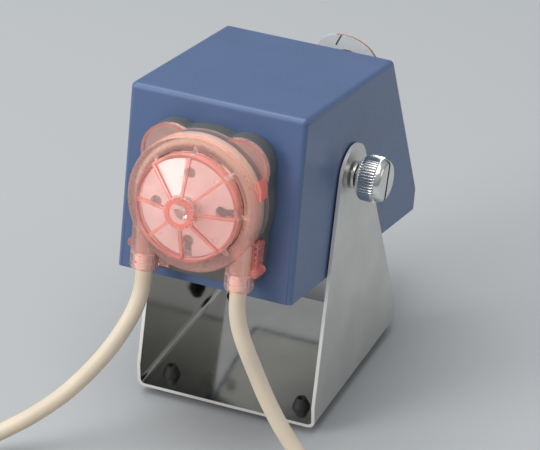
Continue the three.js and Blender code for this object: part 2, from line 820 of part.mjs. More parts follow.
function headPieces() {
  const list = [
    named("head_base", headBase(), GREY),
    named("head_casing", headCasing(), PINK),
    named("head_cover", headCover(), PINK),
    named("cover_catch", coverCatch(), PINK),
    named("pump_tube", pumpTube(), TUBE),
  ];
  for (const side of [-1, 1]) {
    const word = side > 0 ? "right" : "left";
    const nut = moved(tubeNut(), side * LEG_X, -TUBE_DEPTH, -HEAD_Z);
    const screw = join(
      ring(0, 1.9, -10, 4, "forward", 16),
      ring(0, 3.3, 3.1, 5.2, "forward", 16),
    );
    list.push(named(`tube_nut_${word}`, nut, PINK));
    list.push(named(`side_clip_${word}`, sideClip(side), PINK));
    list.push(named(`head_screw_${word}`, moved(screw, side * HEAD_SCREW_X, 0, 0), ZINC));
  }
  return [...list, ...rotorPieces()];
}

// ---- Gearbox and motor; depths are counted forward, so behind the front face they are negative ----
const GEARBOX_FRONT = -1.3;
const GEARBOX_BACK = -17;
const GEARBOX_Z = 5;

function gearboxCase() {
  const round = (radius, from, to) => moved(ring(0, radius, from, to, "forward", 48), 0, 0, GEARBOX_Z);
  const screws = [-1, 1].map((side) =>
    moved(ring(0, 2.1, -12, 0, "forward", 16), side * HEAD_SCREW_X, 0, 0),
  );
  const ears = [-1, 1].map((side) =>
    moved(ring(0, 4.5, -10.5, GEARBOX_FRONT, "forward", 24), side * HEAD_SCREW_X, 0, 0),
  );
  const cavity = cut(
    round(19.6, GEARBOX_BACK - 1, GEARBOX_FRONT - 2),
    ...[-1, 1].map((side) =>
      moved(ring(0, 4.5, -10.6, 0, "forward", 24), side * HEAD_SCREW_X, 0, 0),
    ),
  );
  const shell = join(round(21, GEARBOX_BACK, GEARBOX_FRONT), ...ears);
  return cut(shell, cavity, ring(0, 3.3, -8, 0, "forward", 24), ...screws);
}

function gear({ radius, teeth }, bore, from, to) {
  const blank = forward(toothed(radius, teeth, radius > 5 ? 1.1 : 0.8), from, to);
  return cut(blank, ring(0, bore, from - 1, to + 1, "forward", 16));
}

function gearPieces() {
  const cluster = join(
    gear(BIG_GEAR, 1.3, -15.8, -13),
    gear(SMALL_GEAR, 1.3, -13.2, -6.5),
  );
  const axle = ring(0, 1.2, GEARBOX_BACK + 0.2, GEARBOX_FRONT - 2.1, "forward", 16);
  const pinion = join(
    forward(toothed(SMALL_GEAR.radius, SMALL_GEAR.teeth, 0.8), -16, -12.8),
    ring(0, 1.2, -40, -12.8, "forward", 16),
  );
  const shaftHole = moved(ring(0, 1.6, -20, 0, "forward", 16), PINION_X, 0, PINION_Z);
  const plate = cut(
    moved(ring(0, 21, -19, GEARBOX_BACK - GAP, "forward", 48), 0, 0, GEARBOX_Z),
    shaftHole,
  );
  const motor = cut(
    turned(
      [
        [0, -68],
        [5, -68],
        [5, -66],
        [16.8, -66],
        [18, -64.8],
        [18, -20.3],
        [16.8, -19.1],
        [0, -19.1],
      ],
      "forward",
      48,
    ),
    ring(0, 1.6, -41, 0, "forward", 16),
  );
  return [
    named("gearbox_case", gearboxCase(), ZINC),
    named("gearbox_plate", plate, ZINC),
    named("output_gear", gear(BIG_GEAR, SHAFT_RADIUS + 0.1, -11.5, -7.5), BRASS),
    named("cluster_gear", moved(cluster, CLUSTER_X, 0, CLUSTER_Z), BRASS),
    named("cluster_axle", moved(axle, CLUSTER_X, 0, CLUSTER_Z), ZINC),
    named("motor_pinion", moved(pinion, PINION_X, 0, PINION_Z), BRASS),
    named("motor_can", moved(motor, PINION_X, 0, PINION_Z), ZINC),
  ];
}

// ---- Electronics: one board on four studs pressed up out of the bottom cover ----
const BOARD_BOX = { x0: -32, x1: 32, y0: 78, y1: 136, z0: 9, z1: 10.6 };
const STUDS = [
  [-27, 83],
  [27, 83],
  [-27, 131],
  [27, 131],
];

function controlBoard() {
  const { x0, x1, y0, y1, z0, z1 } = BOARD_BOX;
  const plate = box(x0, x1, y0, y1, z0, z1);
  const capacitor = moved(ring(0, 5, z1 - 0.1, z1 + 13, "z", 20), -14, 96, 0);
  const plug = box(6, 22, 90, 98, z1 - 0.1, z1 + 9);
  const holes = STUDS.map(([x, y]) => moved(ring(0, 1.6, 8, 12, "z", 12), x, y, 0));
  return join(cut(plate, ...holes), capacitor, plug);
}

function stud() {
  const { z0, z1 } = BOARD_BOX;
  return turned(
    [
      [0, 1.7],
      [3, 1.7],
      [3, z0 - GAP],
      [1.4, z0 - GAP],
      [1.4, z1 + 1.5],
      [0, z1 + 1.5],
    ],
    "z",
    12,
  );
}

// ---- Controls on the rear panel ----
const SKIRT_BACK = 7.4;
const ROCKER_LEAN = 7;
function controlPieces() {
  const at = (shape, place) => onPanel(shape, place.x, place.down);
  const knob = turned(
    [
      [0, 4.1],
      [5.4, 4.1],
      [5.8, 4.5],
      [5.8, SKIRT_BACK - GAP],
      [4, SKIRT_BACK - GAP],
      [4, SKIRT_BACK + 1.9],
      [3.6, SKIRT_BACK + 2.3],
      [0, SKIRT_BACK + 2.3],
    ],
    "z",
    32,
  );
  const bore = ring(0, SHAFT_RADIUS + 0.1, 0, SKIRT_BACK + 0.6, "z", 20);
  const skirt = ring(4.2, 15, SKIRT_BACK, SKIRT_BACK + 1.5, "z", 48);
  const shaft = ring(0, SHAFT_RADIUS, -3, SKIRT_BACK + 0.4, "z", 20);
  const pot = cut(
    join(ring(0, 8.5, -11, -1.5, "z", 32), ring(0, 3.5, -2, 4, "z", 20)),
    ring(0, SHAFT_RADIUS + 0.2, -3.2, 5, "z", 20),
  );
  const rockerBezel = cut(
    join(box(-7.5, 7.5, -11, 11, 0.1, 1.9), box(-6, 6, -9.5, 9.5, -12, 1)),
    box(-4.9, 4.9, -8.4, 8.4, -5, 3),
  );
  const rockerOutline = new THREE.Shape();
  rockerOutline.moveTo(-8, -1.6);
  rockerOutline.lineTo(8, -1.6);
  rockerOutline.lineTo(8, 2.2);
  rockerOutline.lineTo(0, 1.2);
  rockerOutline.lineTo(-8, 2.2);
  rockerOutline.closePath();
  const rocker = sideways(rockerOutline, -4.6, 4.6).rotate([-ROCKER_LEAN, 0, 0]);
  const toggleBody = cut(
    join(box(-4, 4, -6.5, 6.5, -13, -1.5), ring(0, 3.1, -2, 6, "z", 20)),
    turned(
      [
        [0, -5.2],
        [1.9, -5.2],
        [2.6, 7],
        [0, 7],
      ],
      "z",
      20,
    ),
  );
  const lever = turned(
    [
      [0, -4.8],
      [1, -4.8],
      [1.1, 6],
      [1.6, 14],
      [1.2, 15],
      [0, 15],
    ],
    "z",
    16,
  );
  const inlet = cut(
    join(ring(0, 4, -12, 1, "z", 24), ring(0, 5.8, 0.1, 2.2, "z", 32)),
    ring(1.3, 2.9, -9, 3, "z", 20),
  );
  return [
    named("dial_knob", at(cut(knob, bore), DIAL), BLACK),
    named("dial_skirt", at(skirt, DIAL), CLEAR),
    named("dial_shaft", at(shaft, DIAL), ZINC),
    named("speed_potentiometer", at(pot, DIAL), BLACK),
    named("power_switch", at(rockerBezel, ROCKER), BLACK),
    named("power_rocker", at(rocker, ROCKER), BLACK),
    named("direction_switch", at(toggleBody, TOGGLE), ZINC),
    named("direction_lever", at(lever, TOGGLE), CHROME),
    named("power_inlet", at(inlet, INLET), BLACK),
  ];
}

// ---- Free tubes: each leaves its nut, bends down to the bench and ends in a coil ----
const INLET_ROUTE = [
  [-22.9, -82.1, 92.3],
  [-23.2, -84, 84.6],
  [-25, -87.6, 76],
  [-28.6, -92, 67],
  [-33.4, -96.3, 58.2],
  [-38.6, -99.8, 50.4],
  [-46, -103.9, 41],
  [-54.4, -108, 32],
  [-66.6, -112.8, 21.6],
  [-76, -116.4, 15],
  [-84.4, -121.4, 10],
  [-90.6, -128.5, 6.4],
  [-94.4, -136.5, 4.6],
  [-95.8, -144, 4],
  [-95.8, -149, 3.85],
];
const OUTLET_ROUTE = [
  [22.9, -82.1, 92.3],
  [23.3, -83.9, 84.6],
  [25.3, -85.6, 76.5],
  [28.8, -86.6, 67.5],
  [33.6, -87, 56],
  [39.2, -88, 44.5],
  [46.6, -89.4, 32.5],
  [55.6, -91.4, 21.5],
  [65, -95.3, 13.2],
  [72.4, -101.8, 7.6],
  [77.3, -110.4, 4.8],
  [79.1, -119, 4],
  [79.1, -124, 3.85],
];

function freeTube(route) {
  const path = new THREE.CatmullRomCurve3(route.map((point) => new THREE.Vector3(...point)));
  const section = new THREE.Shape();
  for (let i = 0; i < 10; i++) {
    const angle = (2 * Math.PI * i) / 10;
    const [x, y] = [TUBE_RADIUS * Math.cos(angle), TUBE_RADIUS * Math.sin(angle)];
    if (i === 0) section.moveTo(x, y);
    else section.lineTo(x, y);
  }
  section.closePath();
  return solid(
    new THREE.ExtrudeGeometry(section, { steps: 24, extrudePath: path, curveSegments: 1 }),
  );
}

// The ring that a tube's coil fills: the tube runs on from its last point into the ring's middle
// line, which lies to the left (turn 1) or to the right (turn -1) of its way.
const COIL_REACH = Math.sqrt((COIL_RADIUS + TUBE_DIAMETER + 0.4) ** 2 - COIL_RADIUS ** 2);
function coil(route, turn) {
  const end = new THREE.Vector2(...route.at(-1));
  const way = end.clone().sub(new THREE.Vector2(...route.at(-2))).normalize();
  const across = new THREE.Vector2(-way.y, way.x).multiplyScalar(turn * COIL_RADIUS);
  const centre = end.addScaledVector(way, COIL_REACH).add(across);
  const inner = COIL_RADIUS - TUBE_RADIUS;
  const outer = COIL_RADIUS + TUBE_RADIUS;
  return moved(ring(inner, outer, 0, TUBE_DIAMETER, "z", 40), centre.x, centre.y, 0);
}

// ---- Assembly ----
const group = new THREE.Group();

const stand = new THREE.Group();
stand.add(named("stand_bracket", standBracket(), STEEL));
for (const [across, x] of [["left", -FOOT_X], ["right", FOOT_X]]) {
  for (const [along, y] of [["front", -FOOT_Y], ["rear", FOOT_Y]]) {
    stand.add(named(`foot_${along}_${across}`, moved(foot(), x, y, 0), RUBBER));
  }
}
stand.add(clampPieces(1), clampPieces(-1));

const cords = new THREE.Group();
cords.add(named("inlet_tube", freeTube(INLET_ROUTE), TUBE));
cords.add(named("outlet_tube", freeTube(OUTLET_ROUTE), TUBE));
cords.add(named("inlet_coil", coil(INLET_ROUTE, 1), TUBE));
cords.add(named("outlet_coil", coil(OUTLET_ROUTE, -1), TUBE));

const tilting = new THREE.Group();
tilting.position.set(0, AXIS_Y, AXIS_Z);
tilting.rotation.x = TILT;
const housing = new THREE.Group();
housing.position.set(0, -AXIS_FROM_FRONT, -AXIS_FROM_BOTTOM);
tilting.add(housing);
const onHeadAxis = new THREE.Group();
onHeadAxis.position.z = HEAD_Z;
housing.add(onHeadAxis);
for (const piece of [...housingPieces(), ...controlPieces()]) housing.add(piece);
for (const piece of [...headPieces(), ...gearPieces()]) onHeadAxis.add(piece);

// The origin is under the middle of the pump itself, without its free tubes.
group.add(stand, tilting);
group.updateMatrixWorld(true);
const middle = new THREE.Box3().setFromObject(group, true).getCenter(new THREE.Vector3());
group.position.set(-middle.x, -middle.y, 0);
group.add(cords);

export default group;
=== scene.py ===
"""The looks of a bench-top peristaltic pump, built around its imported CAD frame."""

import json
import math

import bmesh
import bpy
from mathutils import Matrix, Vector


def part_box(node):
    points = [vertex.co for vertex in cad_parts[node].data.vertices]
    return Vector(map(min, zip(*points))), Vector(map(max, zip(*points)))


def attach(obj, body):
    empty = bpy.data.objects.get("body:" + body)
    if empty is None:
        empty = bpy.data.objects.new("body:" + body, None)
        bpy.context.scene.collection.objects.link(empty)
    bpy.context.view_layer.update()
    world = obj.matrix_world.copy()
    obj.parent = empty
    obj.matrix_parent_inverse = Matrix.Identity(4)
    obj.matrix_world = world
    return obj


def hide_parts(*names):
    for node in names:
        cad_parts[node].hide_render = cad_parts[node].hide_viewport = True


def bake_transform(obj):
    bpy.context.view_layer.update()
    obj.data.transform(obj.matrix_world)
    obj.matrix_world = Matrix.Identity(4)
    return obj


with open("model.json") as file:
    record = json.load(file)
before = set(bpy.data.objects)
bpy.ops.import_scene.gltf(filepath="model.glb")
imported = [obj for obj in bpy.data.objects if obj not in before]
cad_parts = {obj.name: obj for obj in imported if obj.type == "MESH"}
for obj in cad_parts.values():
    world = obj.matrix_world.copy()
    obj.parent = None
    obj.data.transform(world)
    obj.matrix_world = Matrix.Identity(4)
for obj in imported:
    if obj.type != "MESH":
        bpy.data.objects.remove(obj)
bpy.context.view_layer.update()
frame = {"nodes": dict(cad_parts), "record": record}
nodes = frame["nodes"]

# ---- Frames: each piece is drawn in millimetres in one of these, and placed in the row frame ----
MM = 0.001
TURN = 2 * math.pi
FOOT_Y = 36
AXIS_Y = -3.5
AXIS_Z = 115.4
TILT = math.radians(-12.6)
AXIS_FROM_FRONT = 57.5
AXIS_FROM_BOTTOM = 45.3
HEAD_Z = 44.6
PANEL_TOP = Vector((102.5, 87.0))
PANEL_FOOT = Vector((150.5, 10.7))


def shift(x, y, z):
    return Matrix.Translation((x, y, z))


def axes(x, y, z):
    """A turned frame, from where its own three axes point."""
    return Matrix((x, y, z)).transposed().to_4x4()


FACING_FRONT = axes((1, 0, 0), (0, 0, 1), (0, -1, 0))
FACING_UP_LEG = axes((1, 0, 0), (0, 0, -1), (0, 1, 0))
FACING_SIDE = axes((0, 1, 0), (0, 0, 1), (1, 0, 0))

foot_low, foot_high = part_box("foot_front_left")
ROW_Y = (foot_low.y + foot_high.y) / 2 / MM + FOOT_Y
ROW = Matrix.Scale(MM, 4) @ shift(0, ROW_Y, 0)
AXLE = ROW @ shift(0, AXIS_Y, AXIS_Z)
HOUSING = AXLE @ Matrix.Rotation(TILT, 4, "X") @ shift(0, -AXIS_FROM_FRONT, -AXIS_FROM_BOTTOM)
HEAD = HOUSING @ shift(0, 0, HEAD_Z) @ FACING_FRONT
DOWN = (PANEL_FOOT - PANEL_TOP).normalized()
OUT = Vector((-DOWN.y, DOWN.x))
PANEL = (
    HOUSING
    @ shift(0, PANEL_TOP.x, PANEL_TOP.y)
    @ axes((-1, 0, 0), (0, -DOWN.x, -DOWN.y), (0, OUT.x, OUT.y))
)


def clamp_frame(side):
    """Z points out of the ear, and Y up."""
    return AXLE @ axes((0, side, 0), (0, 0, 1), (side, 0, 0))


# ---- Camera: where it stands in metres, and how it is turned in degrees ----
CAMERA_PLACE = (0.5862, -1.2925, 0.9737)
CAMERA_YAW, CAMERA_PITCH, CAMERA_ROLL = 24.23, 32.23, -0.38
LENS = 243.6
SENSOR_WIDTH = 36


def make_camera():
    data = bpy.data.cameras.new("camera")
    data.sensor_width = SENSOR_WIDTH
    data.lens = LENS
    data.clip_end = 20
    camera = bpy.data.objects.new("camera", data)
    yaw, pitch, roll = (math.radians(a) for a in (CAMERA_YAW, CAMERA_PITCH, CAMERA_ROLL))
    level_way = Vector((-math.sin(yaw) * math.cos(pitch), math.cos(yaw) * math.cos(pitch)))
    forward = Vector((*level_way, -math.sin(pitch)))
    right = Vector((math.cos(yaw), math.sin(yaw), 0))
    up = right.cross(forward)
    level = axes(right, up, -forward)
    camera.matrix_world = shift(*CAMERA_PLACE) @ level @ Matrix.Rotation(roll, 4, "Z")
    bpy.context.scene.collection.objects.link(camera)
    bpy.context.scene.camera = camera


make_camera()


# ---- Mesh helpers ----
def filleted(corners, steps=4, closed=True):
    """An outline with each (x, y, radius) corner rounded; a corner with no radius stays sharp."""
    made = []
    for i, corner in enumerate(corners):
        here = Vector(corner[:2])
        radius = corner[2] if len(corner) > 2 else 0
        if radius == 0 or (not closed and i in (0, len(corners) - 1)):
            made.append(tuple(here))
            continue
        back = Vector(corners[i - 1][:2]) - here
        on = Vector(corners[(i + 1) % len(corners)][:2]) - here
        reach = min(radius / math.tan(back.angle(on) / 2), 0.49 * back.length, 0.49 * on.length)
        start = here + back.normalized() * reach
        end = here + on.normalized() * reach
        for k in range(steps + 1):
            t = k / steps
            made.append(tuple((1 - t) ** 2 * start + 2 * t * (1 - t) * here + t * t * end))
    return made


def polar(radius, angle):
    return radius * math.cos(angle), radius * math.sin(angle)


def ring_points(radius, count, x=0, y=0, first=0):
    angles = [first + TURN * i / count for i in range(count)]
    return [(x + radius * math.cos(a), y + radius * math.sin(a)) for a in angles]


def bridge(bm, low, high):
    """Faces between two rings, one of which may be a single point."""
    count = max(len(low), len(high))
    if count == 1:
        return
    for k in range(count):
        n = (k + 1) % count
        if len(low) == 1:
            bm.faces.new((low[0], high[n], high[k]))
        elif len(high) == 1:
            bm.faces.new((low[k], low[n], high[0]))
        else:
            bm.faces.new((low[k], low[n], high[n], high[k]))


def lathe(profile, segments, closed=False):
    """A solid of revolution about Z from (radius, height) points."""
    bm = bmesh.new()
    rows = []
    for radius, height in profile:
        if radius < 1e-6:
            rows.append([bm.verts.new((0, 0, height))])
        else:
            rows.append([bm.verts.new((*xy, height)) for xy in ring_points(radius, segments)])
    pairs = list(zip(rows, rows[1:]))
    if closed:
        pairs.append((rows[-1], rows[0]))
    for low, high in pairs:
        bridge(bm, low, high)
    return bm


def turned(corners, segments, steps=3):
    """A solid of revolution whose profile has rounded corners."""
    return lathe(filleted(corners, steps, closed=False), segments)


def ringed(corners, segments, steps=3):
    """A ring of revolution whose closed profile has rounded corners."""
    return lathe(filleted(corners, steps), segments, closed=True)


def rod(radius, low, high, segments):
    return lathe([(0, low), (radius, low), (radius, high), (0, high)], segments)


def slab(outline, low, high, holes=()):
    """A flat slab along Z, with holes through it."""
    bm = bmesh.new()
    loops = [[bm.verts.new((x, y, low)) for x, y in loop] for loop in (outline, *holes)]
    edges = [bm.edges.new((loop[i - 1], v)) for loop in loops for i, v in enumerate(loop)]
    bmesh.ops.triangle_fill(bm, use_beauty=True, use_dissolve=False, edges=edges)
    caps = [list(f.verts) for f in bm.faces]
    above = {v: bm.verts.new((v.co.x, v.co.y, high)) for loop in loops for v in loop}
    for corners in caps:
        bm.faces.new([above[v] for v in reversed(corners)])
    for loop in loops:
        for i, v in enumerate(loop):
            bm.faces.new((loop[i - 1], v, above[v], above[loop[i - 1]]))
    bmesh.ops.recalc_face_normals(bm, faces=bm.faces)
    return bm


def block(x0, x1, y0, y1, z0, z1):
    return slab([(x0, y0), (x1, y0), (x1, y1), (x0, y1)], z0, z1)


def round_edges(bm, edges, width, segments):
    bmesh.ops.bevel(
        bm,
        geom=edges,
        offset=width,
        segments=segments,
        profile=0.5,
        affect="EDGES",
        clamp_overlap=True,
    )


def soften(bm, width, segments=2, angle=30):
    """Rounds every edge sharper than an angle."""
    bmesh.ops.recalc_face_normals(bm, faces=bm.faces)
    limit = math.radians(angle)
    sharp = [e for e in bm.edges if len(e.link_faces) == 2 and e.calc_face_angle() > limit]
    round_edges(bm, sharp, width, segments)
    return bm


def placed(bm, matrix):
    bm.transform(matrix)
    if matrix.determinant() < 0:
        bmesh.ops.reverse_faces(bm, faces=bm.faces)
    return bm


def merged(*shapes):
    """Several shapes in one mesh, side by side."""
    bm = bmesh.new()
    for shape in shapes:
        held = bpy.data.meshes.new("held")
        shape.to_mesh(held)
        shape.free()
        bm.from_mesh(held)
        bpy.data.meshes.remove(held)
    return bm


WELD = 0.003


def boolean(base, joined=(), cut=()):
    """The union of a base and joined shapes, less the cut ones."""
    scene = bpy.context.scene
    objects = []
    for shape in (base, *joined, *cut):
        bmesh.ops.recalc_face_normals(shape, faces=shape.faces)
        mesh = bpy.data.meshes.new("operand")
        shape.to_mesh(mesh)
        shape.free()
        objects.append(bpy.data.objects.new("operand", mesh))
        scene.collection.objects.link(objects[-1])
    for i, other in enumerate(objects[1:]):
        modifier = objects[0].modifiers.new("operation", "BOOLEAN")
        modifier.operation = "UNION" if i < len(joined) else "DIFFERENCE"
        modifier.solver = "EXACT"
        modifier.object = other
    graph = bpy.context.evaluated_depsgraph_get()
    graph.update()
    result = bpy.data.meshes.new_from_object(objects[0].evaluated_get(graph))
    bm = bmesh.new()
    bm.from_mesh(result)
    bmesh.ops.remove_doubles(bm, verts=bm.verts, dist=WELD)
    bmesh.ops.dissolve_degenerate(bm, edges=bm.edges, dist=WELD)
    bpy.data.meshes.remove(result)
    for o in objects:
        mesh = o.data
        bpy.data.objects.remove(o)
        bpy.data.meshes.remove(mesh)
    return bm


def piece(name, bm, place, surface, body, stands_for=(), smooth=35, more=()):
    """Turns a shape into a finished piece that rides on a body and stands for CAD nodes."""
    placed(bm, place)
    bmesh.ops.recalc_face_normals(bm, faces=bm.faces)
    mesh = bpy.data.meshes.new(name)
    bm.to_mesh(mesh)
    bm.free()
    for used in (surface, *more):
        mesh.materials.append(used)
    mesh.polygons.foreach_set("use_smooth", [True] * len(mesh.polygons))
    mesh.set_sharp_from_angle(angle=math.radians(smooth))
    made = bpy.data.objects.new(name, mesh)
    bpy.context.scene.collection.objects.link(made)
    made.modifiers.new("even_normals", "WEIGHTED_NORMAL").keep_sharp = True
    if body:
        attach(made, body)
    if stands_for:
        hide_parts(*stands_for)
    return made


# ---- Materials ----
def new_material(name, slot):
    made = bpy.data.materials.new(name)
    made.use_nodes = True
    made["slot"] = slot
    tree = made.node_tree
    return made, tree, tree.nodes["Principled BSDF"]


def noise(tree, scale, detail=3, stretch=(1, 1, 1)):
    """Noise in the piece's own space; its scale is features per metre."""
    place = tree.nodes.new("ShaderNodeTexCoord")
    mapping = tree.nodes.new("ShaderNodeMapping")
    mapping.inputs["Scale"].default_value = stretch
    texture = tree.nodes.new("ShaderNodeTexNoise")
    texture.inputs["Scale"].default_value = scale
    texture.inputs["Detail"].default_value = detail
    tree.links.new(place.outputs["Object"], mapping.inputs["Vector"])
    tree.links.new(mapping.outputs["Vector"], texture.inputs["Vector"])
    return texture.outputs["Fac"]


def ranged(tree, value, low, high):
    made = tree.nodes.new("ShaderNodeMapRange")
    made.inputs["From Min"].default_value = 0.3
    made.inputs["From Max"].default_value = 0.7
    made.inputs["To Min"].default_value = low
    made.inputs["To Max"].default_value = high
    tree.links.new(value, made.inputs["Value"])
    return made.outputs["Result"]


def mixed(tree, factor, first, second):
    made = tree.nodes.new("ShaderNodeMix")
    made.data_type = "RGBA"
    tree.links.new(factor, made.inputs["Factor"])
    made.inputs["A"].default_value = (*first, 1)
    made.inputs["B"].default_value = (*second, 1)
    return made.outputs["Result"]


def shade(color, factor):
    return tuple(min(1, c * factor) for c in color)


def finish(
    name,
    slot,
    color,
    roughness,
    metallic=0.0,
    grain=1500,
    bump=0.1,
    vary=0.06,
    rough=0.05,
    stretch=(1, 1, 1),
    **sockets,
):
    """A surface with fine grain, and slow changes of colour and roughness."""
    made, tree, shader = new_material(name, slot)
    shader.inputs["Metallic"].default_value = metallic
    for socket, value in sockets.items():
        shader.inputs[socket.replace("_", " ")].default_value = value
    cloudy = noise(tree, 45, 2)
    fine = noise(tree, grain, 3, stretch)
    tint = mixed(tree, ranged(tree, cloudy, 0, 1), shade(color, 1 - vary), shade(color, 1 + vary))
    tree.links.new(tint, shader.inputs["Base Color"])
    gloss = ranged(tree, fine, roughness - rough, roughness + rough)
    tree.links.new(gloss, shader.inputs["Roughness"])
    relief = tree.nodes.new("ShaderNodeBump")
    relief.inputs["Strength"].default_value = bump
    relief.inputs["Distance"].default_value = 0.0002
    tree.links.new(fine, relief.inputs["Height"])
    tree.links.new(relief.outputs["Normal"], shader.inputs["Normal"])
    return made


def clear(name, color, roughness, shadow, milky):
    """Clear red plastic: glass to the eye, and a plain tint to lamps, so that its inside is lit."""
    made, tree, shader = new_material(name, "clear_red_plastic")
    shader.inputs["Transmission Weight"].default_value = 1 - milky
    shader.inputs["IOR"].default_value = 1.45
    cloudy = noise(tree, 120, 2)
    tint = mixed(tree, ranged(tree, cloudy, 0, 1), shade(color, 0.95), shade(color, 1.04))
    tree.links.new(tint, shader.inputs["Base Color"])
    gloss = ranged(tree, cloudy, roughness * 0.7, roughness * 1.3)
    tree.links.new(gloss, shader.inputs["Roughness"])
    through = tree.nodes.new("ShaderNodeBsdfTransparent")
    through.inputs["Color"].default_value = (*shadow, 1)
    path = tree.nodes.new("ShaderNodeLightPath")
    mix = tree.nodes.new("ShaderNodeMixShader")
    tree.links.new(path.outputs["Is Shadow Ray"], mix.inputs["Fac"])
    tree.links.new(shader.outputs["BSDF"], mix.inputs[1])
    tree.links.new(through.outputs["BSDF"], mix.inputs[2])
    tree.links.new(mix.outputs["Shader"], tree.nodes["Material Output"].inputs["Surface"])
    return made


PAINT = finish(
    "blue_paint",
    "blue_painted_steel",
    (0.082, 0.138, 0.285),
    0.4,
    grain=700,
    bump=0.12,
    vary=0.03,
    Coat_Weight=0.38,
    Coat_Roughness=0.32,
)
BRUSHING = (1, 1, 0.05)
STEEL = finish(
    "sheet_steel",
    "stainless_sheet",
    (0.6, 0.59, 0.56),
    0.1,
    1.0,
    grain=420,
    bump=0.015,
    rough=0.03,
    stretch=BRUSHING,
)
MATTE_STEEL = finish(
    "brushed_steel",
    "stainless_sheet",
    (0.72, 0.71, 0.68),
    0.34,
    1.0,
    grain=900,
    bump=0.04,
    rough=0.04,
    stretch=BRUSHING,
)
CUT_EDGE = finish(
    "cut_edge", "stainless_sheet", (0.85, 0.84, 0.8), 0.5, 0.3, grain=2200, bump=0.08
)
CHROME = finish(
    "bright_plate", "plated_steel", (0.82, 0.82, 0.8), 0.16, 1.0, bump=0.04, rough=0.04
)
ZINC = finish(
    "zinc_plate", "zinc_plated_steel", (0.52, 0.5, 0.45), 0.34, 1.0, grain=1200, bump=0.08
)
RUBBER = finish("black_rubber", "black_rubber", (0.03, 0.031, 0.032), 0.62, bump=0.15, vary=0.2)
GREY = finish(
    "grey_moulding", "dark_grey_plastic", (0.115, 0.12, 0.113), 0.42, grain=1800, bump=0.12
)
PALE_SHADOW = (1.0, 0.93, 0.91)
RED_SHADOW = (1.0, 0.9, 0.88)
DEEP_SHADOW = (1.0, 0.8, 0.76)
PINK = clear("clear_red", (0.95, 0.72, 0.69), 0.04, PALE_SHADOW, 0.2)
FROSTED_PINK = clear("frosted_red", (0.68, 0.425, 0.385), 0.28, PALE_SHADOW, 0.4)
# Deeper red for the cover's ribs and other thick plastic, and for the painted edge lines along the
# casing's rims.
RIB_AND_PAINTED_EDGE_PINK = clear("clear_red_ribs_and_painted_edges", (1.0, 0.42, 0.36), 0.06, RED_SHADOW, 0.35)
CLIP_PINK = clear("clear_red_clips", (0.97, 0.5, 0.46), 0.06, RED_SHADOW, 0.2)
DEEP_PINK = clear("clear_red_thick", (0.98, 0.4, 0.34), 0.06, DEEP_SHADOW, 0.45)
WHITE = finish("white_acetal", "white_acetal", (0.76, 0.73, 0.72), 0.34, bump=0.06, vary=0.02)
TUBE = finish(
    "cream_tubing",
    "cream_tubing",
    (0.74, 0.64, 0.5),
    0.45,
    grain=1200,
    bump=0.05,
    vary=0.04,
    Subsurface_Weight=0.25,
    Subsurface_Scale=0.004,
    Sheen_Weight=0.1,
)
BLACK = finish(
    "black_moulding", "black_plastic", (0.02, 0.02, 0.022), 0.4, grain=2000, bump=0.12, vary=0.2
)
ACRYLIC = finish(
    "clear_acrylic", "clear_acrylic", (0.9, 0.92, 0.92), 0.12, bump=0.02, vary=0.02, Alpha=0.16
)
ORANGE = finish("orange_print", "clear_acrylic", (0.9, 0.42, 0.16), 0.4, bump=0.03)
INK = finish("black_print", "clear_acrylic", (0.02, 0.02, 0.02), 0.5, bump=0.03)
PALE_PRINT = finish("pale_print", "black_plastic", (0.75, 0.77, 0.78), 0.5, bump=0.03)
BRASS = finish("machined_brass", "brass", (0.62, 0.43, 0.16), 0.3, 1.0, bump=0.05)
BOARD = finish("board_mask", "circuit_board", (0.02, 0.12, 0.05), 0.4, grain=2500, vary=0.2)
FINISH_OF_SLOT = {
    "blue_painted_steel": PAINT,
    "stainless_sheet": STEEL,
    "plated_steel": CHROME,
    "zinc_plated_steel": ZINC,
    "black_rubber": RUBBER,
    "dark_grey_plastic": GREY,
    "clear_red_plastic": PINK,
    "white_acetal": WHITE,
    "cream_tubing": TUBE,
    "black_plastic": BLACK,
    "clear_acrylic": ACRYLIC,
    "brass": BRASS,
    "circuit_board": BOARD,
}
for subpart in frame["record"]["subparts"]:
    carried = nodes[subpart["node"]].data
    carried.materials.clear()
    carried.materials.append(FINISH_OF_SLOT[subpart["material_slot"]])

# ---- Free tubes ----
TUBE_DIAMETER = 7.5
BORE_DIAMETER = 4.6
COIL_RADIUS = 5.5 * TUBE_DIAMETER
COIL_REACH = math.sqrt((COIL_RADIUS + TUBE_DIAMETER + 0.4) ** 2 - COIL_RADIUS**2)
COIL_TURN = math.radians(318)
COIL_STEPS = 22
INLET_ROUTE = [
    (-22.9, -81.64, 94.35),
    (-22.9, -82.1, 92.3),
    (-23.2, -84, 84.6),
    (-25, -87.6, 76),
    (-28.6, -92, 67),
    (-33.4, -96.3, 58.2),
    (-38.6, -99.8, 50.4),
    (-46, -103.9, 41),
    (-54.4, -108, 32),
    (-66.6, -112.8, 21.6),
    (-76, -116.4, 15),
    (-84.4, -121.4, 10),
    (-90.6, -128.5, 6.4),
    (-94.4, -136.5, 4.6),
    (-95.8, -144, 4),
    (-95.8, -149, 3.85),
]
OUTLET_ROUTE = [
    (22.9, -81.64, 94.35),
    (22.9, -82.1, 92.3),
    (23.3, -83.9, 84.6),
    (25.3, -85.6, 76.5),
    (28.8, -86.6, 67.5),
    (33.6, -87, 56),
    (39.2, -88, 44.5),
    (46.6, -89.4, 32.5),
    (55.6, -91.4, 21.5),
    (65, -95.3, 13.2),
    (72.4, -101.8, 7.6),
    (77.3, -110.4, 4.8),
    (79.1, -119, 4),
    (79.1, -124, 3.85),
]


